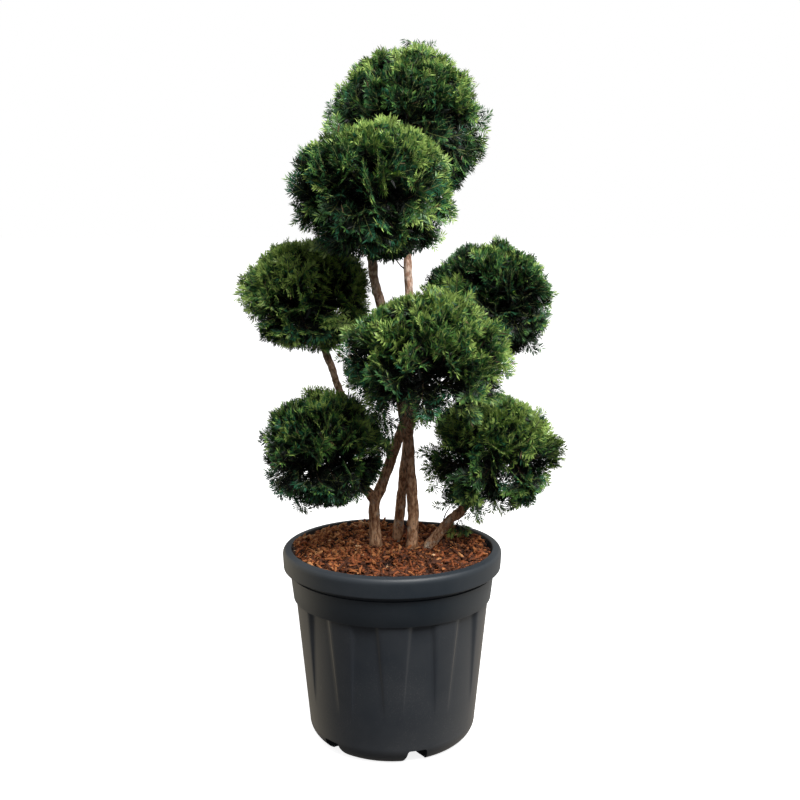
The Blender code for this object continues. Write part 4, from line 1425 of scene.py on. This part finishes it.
def carriers(name, twigs, rng):
    """The few thick twigs that leave the limb's end, and thin ones that go on from them to the boughlets."""
    ball = BALLS[name]
    line = limb_line(next(limb for limb in LIMBS.values() if limb.ball == name))
    inner = line.points[line.outside:]
    ends = np.array(ball.centre) + even_directions(CARRIERS) * ball_size(ball) * CARRIER_REACH
    starts = inner[(len(inner) * rng.uniform(0.3, 0.95, CARRIERS)).astype(int)]
    nearest = np.argmin(np.linalg.norm(twigs.foot[:, None] - ends[None], axis=2), axis=1)
    made = []
    for start, end in ((starts, ends), (ends[nearest], twigs.foot)):
        chord = end - start
        bow = rng.normal(0, 0.06, chord.shape) * lengths_of(chord)
        made.append(plain_shoots(start, chord, bow, rng.normal(0, 1, chord.shape)))
    return made


def bare_twigs(name):
    """The thin bare twigs on the ball's limb below it."""
    marks = np.array(BARE_TWIGS.get(name, ())).reshape(-1, 2, 3)
    chord = marks[:, 1] - marks[:, 0]
    side = np.cross(chord, (0.0, 1.0, 0.0))
    return plain_shoots(marks[:, 0], chord, side * 0.08, side)


def build_twigs(name, twigs, sprays, forks, seed, materials):
    """The twigs that carry one ball's needles as one joined mesh."""
    rng = np.random.default_rng(seed + 200)
    thick, thin = carriers(name, twigs, rng)
    woody, green = 0, 1
    sets = (
        (thick, woody, THICK_TWIG),
        (thin, woody, THIN_TWIG),
        (twigs, woody, BOUGHLET_TWIG),
        (sprays, green, SPRAY_TWIG),
        (forks, green, FORK_TWIG),
        (bare_twigs(name), woody, BARE_TWIG),
    )
    points, triangles, kinds, total = [], [], [], 0
    for shoots, kind, shape in sets:
        made, faces = twig_tubes(shoots, *shape)
        made = made[in_reach(made).all(axis=1)]
        triangles.append(total + copied_faces(faces, made))
        points.append(made.reshape(-1, 3))
        kinds.append(np.full(len(made) * len(faces), kind))
        total += len(made) * made.shape[1]
    mesh = mesh_from_arrays(
        "twigs_" + name, np.concatenate(points), np.concatenate(triangles), np.concatenate(kinds), materials,
    )
    return new_piece("twigs_" + name, mesh, "yew_bark")


def foliage_materials(foliage):
    """The needle colours, darkest first, and the two twig colours."""
    names = ("shade", "deep", "mid", "light", "fresh", "blue", "dry")
    needles = [
        plant_material("needle_" + name, getattr(foliage, name + "_colour"), 0.25, foliage.gloss)
        for name in names
    ]
    twigs = [
        plant_material("twig_brown", foliage.twig_colour, 0.30, 0.85, 120.0),
        plant_material("twig_green", foliage.young_twig_colour, 0.30, 0.7, 120.0),
    ]
    return needles, twigs


def build_ball(name, seed, foliage, needle_materials, twig_materials):
    """One clipped ball: its sprays, their needles and the twigs that carry them."""
    ball = BALLS[name]
    rng = np.random.default_rng(seed)
    twigs = boughlets(ball, seed, foliage, rng)
    sprays = joined([sprays_of(twigs, ball, foliage, rng), strays_of(name, twigs, rng)])
    forks = side_shoots(sprays, ball, foliage, rng)
    build_needles(name, twigs, sprays, forks, seed, foliage, needle_materials)
    build_twigs(name, twigs, sprays, forks, seed, twig_materials)


# Stage


def floor_material(stage):
    """Pale paper with a very faint mottling."""
    made, shader, surface = new_material("pale_floor")
    paper = tuple(part * 0.985 for part in stage.floor_colour)
    patches = {"Vector": shader.place(), "Scale": 3.0, "Spread": 0.3}
    mottled = shader.use("Mottle", {**patches, "Base": rgba(stage.floor_colour), "Patches": rgba(paper)})
    shader.feed(surface, "Base Color", mottled["Colour"])
    surface.inputs["Roughness"].default_value = 0.9
    surface.inputs["Specular IOR Level"].default_value = 0.0
    surface.inputs["Emission Color"].default_value = (1, 1, 1, 1)
    surface.inputs["Emission Strength"].default_value = stage.floor_glow
    return made


def build_floor(stage):
    """The floor that the pot stands on."""
    bm = bmesh.new()
    bmesh.ops.create_grid(bm, x_segments=1, y_segments=1, size=stage.floor_size / 2)
    mesh = mesh_from_bmesh("floor", bm, floor_material(stage))
    floor = bpy.data.objects.new("floor", mesh)
    bpy.context.scene.collection.objects.link(floor)
    floor.visible_diffuse = False
    floor.visible_glossy = False
    return floor


def build_world(stage):
    """White behind the plant, a soft light from above on it, and a grey room in its reflections."""
    world = bpy.data.worlds.new("studio")
    world.use_nodes = True
    shader = Shader(world.node_tree)
    world.node_tree.nodes.clear()
    parts = shader.add("SeparateXYZ", {"Vector": shader.add("TexCoord").outputs["Generated"]}).outputs
    share = shader.remap(parts["Z"], stage.horizon_low, stage.horizon_high)
    path = shader.add("LightPath").outputs
    light = shader.mix(share, rgba(stage.low_light), rgba(stage.high_light))
    reflection = shader.mix(share, rgba(stage.low_reflection), rgba(stage.high_reflection))
    behind = shader.math("MULTIPLY", parts["Y"], 0.6)
    sides = ((-1.0, 0.78, 1.10, stage.left_reflection), (1.0, 0.45, 0.85, stage.right_reflection))
    for edge, start, end, colour in sides:
        beside = shader.math("ADD", shader.math("MULTIPLY", parts["X"], edge), behind)
        reflection = shader.mix(shader.remap(beside, start, end), reflection, rgba(colour))
    colour = shader.mix(path["Is Glossy Ray"], light, reflection)
    soft = shader.add("Background", {"Color": colour, "Strength": stage.sky_strength})
    white = shader.add("Background", {"Color": (1, 1, 1, 1), "Strength": stage.backdrop_strength})
    both = shader.add("MixShader", {0: path["Is Camera Ray"], 1: soft.outputs[0], 2: white.outputs[0]})
    shader.add("OutputWorld", {"Surface": both.outputs[0]})
    bpy.context.scene.world = world


def add_area_light(name, place, target, size, power, colour):
    """A soft square lamp that faces its target."""
    data = bpy.data.lights.new(name, "AREA")
    data.shape = "SQUARE"
    data.size = size
    data.energy = power
    data.color = colour
    lamp = bpy.data.objects.new(name, data)
    lamp.location = place
    lamp.rotation_euler = (Vector(target) - Vector(place)).to_track_quat("-Z", "Y").to_euler()
    bpy.context.scene.collection.objects.link(lamp)
    return lamp


def build_camera(stage):
    """The camera at the photograph's angle."""
    data = bpy.data.cameras.new("camera")
    data.lens = stage.lens
    data.sensor_width = 36.0
    camera = bpy.data.objects.new("camera", data)
    camera.location = stage.camera_place
    camera.rotation_euler = (math.pi / 2 - stage.camera_dip, 0.0, 0.0)
    bpy.context.scene.collection.objects.link(camera)
    bpy.context.scene.camera = camera


# Properties


def colour_property(name, description, default):
    """A colour that the sidebar shows."""
    return FloatVectorProperty(
        name=name, description=description, subtype="COLOR", size=3, default=default, min=0.0, max=4.0,
    )


def share_property(name, description, default):
    """A share that the sidebar shows as a slider."""
    return FloatProperty(name=name, description=description, default=default, subtype="FACTOR")


def length_property(name, description, default):
    """A length that the sidebar shows in the scene's unit."""
    return FloatProperty(name=name, description=description, default=default, unit="LENGTH")


def number_property(name, description, default):
    """A plain number that the sidebar shows."""
    return FloatProperty(name=name, description=description, default=default)


def count_property(name, description, default):
    """A number of things that the sidebar shows."""
    return IntProperty(name=name, description=description, default=default, min=0)


class PotFinish(PropertyGroup):
    """The plastic of the pot."""

    wall_colour: colour_property("Wall", "Plastic of the wall", (0.0180, 0.0233, 0.0312))
    # The rim's own plastic, also laid on the band below it as painted shade under the rim
    rim_and_band_shade_colour: colour_property("Rim", "Plastic of the rim", (0.0078, 0.0150, 0.0235))
    dust_colour: colour_property("Dust", "Dust and scuffs", (0.20, 0.19, 0.18))
    sheen_colour: colour_property("Sheen", "Dusty bloom at the sides", (0.85, 0.66, 0.46))
    roughness: share_property("Roughness", "Least roughness", 0.44)
    sheen: share_property("Bloom", "Strength of the dusty bloom", 0.10)
    dust: share_property("Dust", "How much dust lies on it", 0.35)
    scratches: share_property("Scratches", "How pale scratches are", 0.30)


class MulchFinish(PropertyGroup):
    """The shredded bark on the soil."""

    chips: count_property("Chips", "Number of chips", 6600)
    fibres: count_property("Fibres", "Number of long thin fibres", 5200)
    dark_colour: colour_property("Bed", "Dark crumbs under the chips", (0.026, 0.009, 0.004))
    brown_colour: colour_property("Brown", "Darker chips", (0.080, 0.023, 0.0075))
    red_colour: colour_property("Red", "Red-brown chips", (0.240, 0.064, 0.016))
    orange_colour: colour_property("Orange", "Orange chips", (0.380, 0.130, 0.038))
    tan_colour: colour_property("Tan", "Tan chips", (0.520, 0.230, 0.085))
    pale_colour: colour_property("Pale", "Pale splinters", (0.700, 0.430, 0.230))


class BarkFinish(PropertyGroup):
    """The bark of stems and boughs."""

    low_colour: colour_property("Low", "Bark near the soil", (0.270, 0.124, 0.058))
    patch_colour: colour_property("Low patches", "Paler flakes near the soil", (0.620, 0.370, 0.215))
    high_colour: colour_property("High", "Bark high up", (0.430, 0.240, 0.155))
    pale_colour: colour_property("High patches", "Paler flakes high up", (0.800, 0.590, 0.470))
    # Partly the bark's own colour, partly painted shade in the cracks
    crack_shade_colour: colour_property("Cracks", "Cracks between flakes", (0.030, 0.016, 0.010))
    lichen_colour: colour_property("Lichen", "Grey growth, most near the soil", (0.560, 0.540, 0.460))


class FoliageFinish(PropertyGroup):
    """The sprays of needles."""

    needle_length: length_property("Needle length", "Usual length", 0.0153)
    needle_width: length_property("Needle width", "Usual width", 0.0025)
    needle_spacing: length_property("Needle spacing", "Distance between pairs of needles", 0.0029)
    boughlets_per_area: number_property("Boughlets", "Boughlets on a square metre", 430.0)
    sprays: count_property("Sprays", "Sprays on a boughlet", 6)
    spray_length: length_property("Spray length", "Usual length", 0.060)
    ragged_share: share_property("Ragged", "Share that stands proud", 0.35)
    forks: count_property("Forks", "Side shoots on a spray", 3)
    fork_length: length_property("Fork length", "Usual length", 0.034)
    inner_share: share_property("Inner boughlets", "Share that ends inside", 0.18)
    inner_needles: count_property("Inner needles", "Old needles on a boughlet", 55)
    # Partly fresh growth, partly painted light on the outer ends
    tip_light: number_property("Tips", "How much paler a shoot's tip is than its foot", 0.34)
    inner_shade: number_property("Inner shade", "How fast needles darken inwards", 1.7)
    lit_depth: number_property("Lit depth", "Share of the radius where darkening starts", 0.88)
    under_shade: number_property("Under shade", "Darkening under a layer of needles", 0.60)
    # Painted light: needles paler on top of each ball
    top_painted_light: number_property("Top", "How much paler needles are on top", 0.30)
    tone_variety: number_property("Variety", "How much sprays differ", 0.16)
    dry_share: share_property("Dry needles", "Share that is dry", 0.006)
    gloss: share_property("Roughness", "Roughness of a needle", 0.45)
    shade_colour: colour_property("Shade", "Needles deep inside", (0.0028, 0.0070, 0.0032))
    deep_colour: colour_property("Deep", "Darker needles", (0.0115, 0.0380, 0.0150))
    mid_colour: colour_property("Mid", "Most needles", (0.0330, 0.1000, 0.0300))
    light_colour: colour_property("Light", "Lit young needles", (0.0860, 0.1950, 0.0440))
    fresh_colour: colour_property("Fresh", "Yellow-green tips", (0.2600, 0.3800, 0.0900))
    blue_colour: colour_property("Blue", "Bluish sprays, mostly low on a ball", (0.0200, 0.1000, 0.0480))
    dry_colour: colour_property("Dry", "Dry brown needles", (0.1300, 0.0900, 0.0450))
    twig_colour: colour_property("Twigs", "Woody twigs", (0.0700, 0.0420, 0.0260))
    young_twig_colour: colour_property("Young twigs", "Green twigs", (0.1300, 0.1600, 0.0500))


class StageSetup(PropertyGroup):
    """The floor, the light and the camera."""

    floor_colour: colour_property("Floor", "Pale floor", (0.92, 0.92, 0.92))
    floor_glow: number_property("Glow", "Light that the floor itself gives off", 0.84)
    floor_size: length_property("Floor", "Side of the floor", 90.0)
    low_light: colour_property("Low light", "Light from near the horizon and below", (0.12, 0.12, 0.12))
    high_light: colour_property("High light", "Light from above", (1.0, 1.0, 1.0))
    low_reflection: colour_property("Low reflection", "Room reflected low down", (0.22, 0.22, 0.22))
    left_reflection: colour_property("Left reflection", "Room reflected from the left", (1.80, 1.62, 1.28))
    right_reflection: colour_property("Right reflection", "Room reflected from the right", (1.15, 1.12, 1.05))
    high_reflection: colour_property("High reflection", "Room reflected high up", (0.80, 0.84, 0.90))
    horizon_low: number_property("From", "Height where the low light ends", -0.1)
    horizon_high: number_property("To", "Height where the full light starts", 0.75)
    sky_strength: number_property("Sky", "Strength of the soft light", 0.60)
    backdrop_strength: number_property("Backdrop", "White behind the plant", 1.0)
    key_power: FloatProperty(name="Key", description="Power of the key lamp", default=150.0, unit="POWER")
    lens: number_property("Lens", "Focal length in millimetres", 51.525)
    camera_place: FloatVectorProperty(
        name="Camera", description="Where the camera stands", default=(0.0163, -2.3, 1.091),
        subtype="TRANSLATION",
    )
    camera_dip: FloatProperty(
        name="Dip", description="Angle below level", default=math.radians(9.34), subtype="ANGLE",
    )


class TopiarySettings(PropertyGroup):
    """Everything that a user may change."""

    pot: PointerProperty(type=PotFinish)
    mulch: PointerProperty(type=MulchFinish)
    bark: PointerProperty(type=BarkFinish)
    foliage: PointerProperty(type=FoliageFinish)
    stage: PointerProperty(type=StageSetup)


# Operators


class YEW_OT_shared(Operator):
    """Makes the shader groups that the materials share"""

    bl_idname = "yew.shared"
    bl_label = "Shared Shaders"

    def execute(self, context):
        build_mottle_group()
        build_grain_group()
        build_scuff_group()
        return {"FINISHED"}


class YEW_OT_pot(Operator):
    """Builds the ribbed nursery pot"""

    bl_idname = "yew.pot"
    bl_label = "Pot"

    def execute(self, context):
        build_pot(context.scene.topiary.pot)
        return {"FINISHED"}


class YEW_OT_mulch(Operator):
    """Builds the soil and the shredded bark on it"""

    bl_idname = "yew.mulch"
    bl_label = "Mulch"

    def execute(self, context):
        mulch = context.scene.topiary.mulch
        build_mulch_bed(mulch)
        materials = mulch_materials(mulch)
        build_chips(mulch, materials)
        build_fibres(mulch, materials)
        return {"FINISHED"}


class YEW_OT_limbs(Operator):
    """Builds the stems and boughs with their bark"""

    bl_idname = "yew.limbs"
    bl_label = "Stems and Boughs"

    def execute(self, context):
        material = bark_material(context.scene.topiary.bark)
        for seed, (name, limb) in enumerate(LIMBS.items(), start=1):
            build_limb(name, limb, seed, material)
        return {"FINISHED"}


class YEW_OT_foliage(Operator):
    """Builds the balls of needles and their twigs"""

    bl_idname = "yew.foliage"
    bl_label = "Foliage"

    def execute(self, context):
        foliage = context.scene.topiary.foliage
        needles, twigs = foliage_materials(foliage)
        for seed, limb in enumerate(LIMBS.values(), start=1):
            build_ball(limb.ball, seed, foliage, needles, twigs)
        return {"FINISHED"}


class YEW_OT_stage(Operator):
    """Sets up the floor, the light and the camera"""

    bl_idname = "yew.stage"
    bl_label = "Stage"

    def execute(self, context):
        stage = context.scene.topiary.stage
        build_floor(stage)
        build_world(stage)
        add_area_light("key", KEY_PLACE, KEY_TARGET, KEY_SIZE, stage.key_power, KEY_COLOUR)
        build_camera(stage)
        context.scene.view_settings.view_transform = "Standard"
        context.scene.view_settings.look = "None"
        return {"FINISHED"}


class YEW_PT_panel(Panel):
    """Lists the topiary's pieces"""

    bl_idname = "YEW_PT_panel"
    bl_label = "Yew Topiary"
    bl_space_type = "VIEW_3D"
    bl_region_type = "UI"
    bl_category = "Yew"

    def draw(self, context):
        settings = context.scene.topiary
        for operator, group in PIECES:
            self.layout.operator(operator.bl_idname)
            if group:
                column = self.layout.column(align=True)
                for name in getattr(settings, group).__annotations__:
                    column.prop(getattr(settings, group), name)


PIECES = (
    (YEW_OT_shared, None),
    (YEW_OT_pot, "pot"),
    (YEW_OT_mulch, "mulch"),
    (YEW_OT_limbs, "bark"),
    (YEW_OT_foliage, "foliage"),
    (YEW_OT_stage, "stage"),
)
CLASSES = (
    PotFinish, MulchFinish, BarkFinish, FoliageFinish, StageSetup, TopiarySettings,
    *(operator for operator, _ in PIECES), YEW_PT_panel,
)


def register():
    """Adds the classes, and the settings to every scene."""
    for cls in CLASSES:
        bpy.utils.register_class(cls)
    bpy.types.Scene.topiary = PointerProperty(type=TopiarySettings)


def unregister():
    """Takes the settings and the classes away again."""
    del bpy.types.Scene.topiary
    for cls in reversed(CLASSES):
        bpy.utils.unregister_class(cls)


def main():
    """Builds every piece in turn."""
    register()
    bpy.ops.yew.shared()
    bpy.ops.yew.pot()
    bpy.ops.yew.mulch()
    bpy.ops.yew.limbs()
    bpy.ops.yew.foliage()
    bpy.ops.yew.stage()


if __name__ == "__main__":
    main()
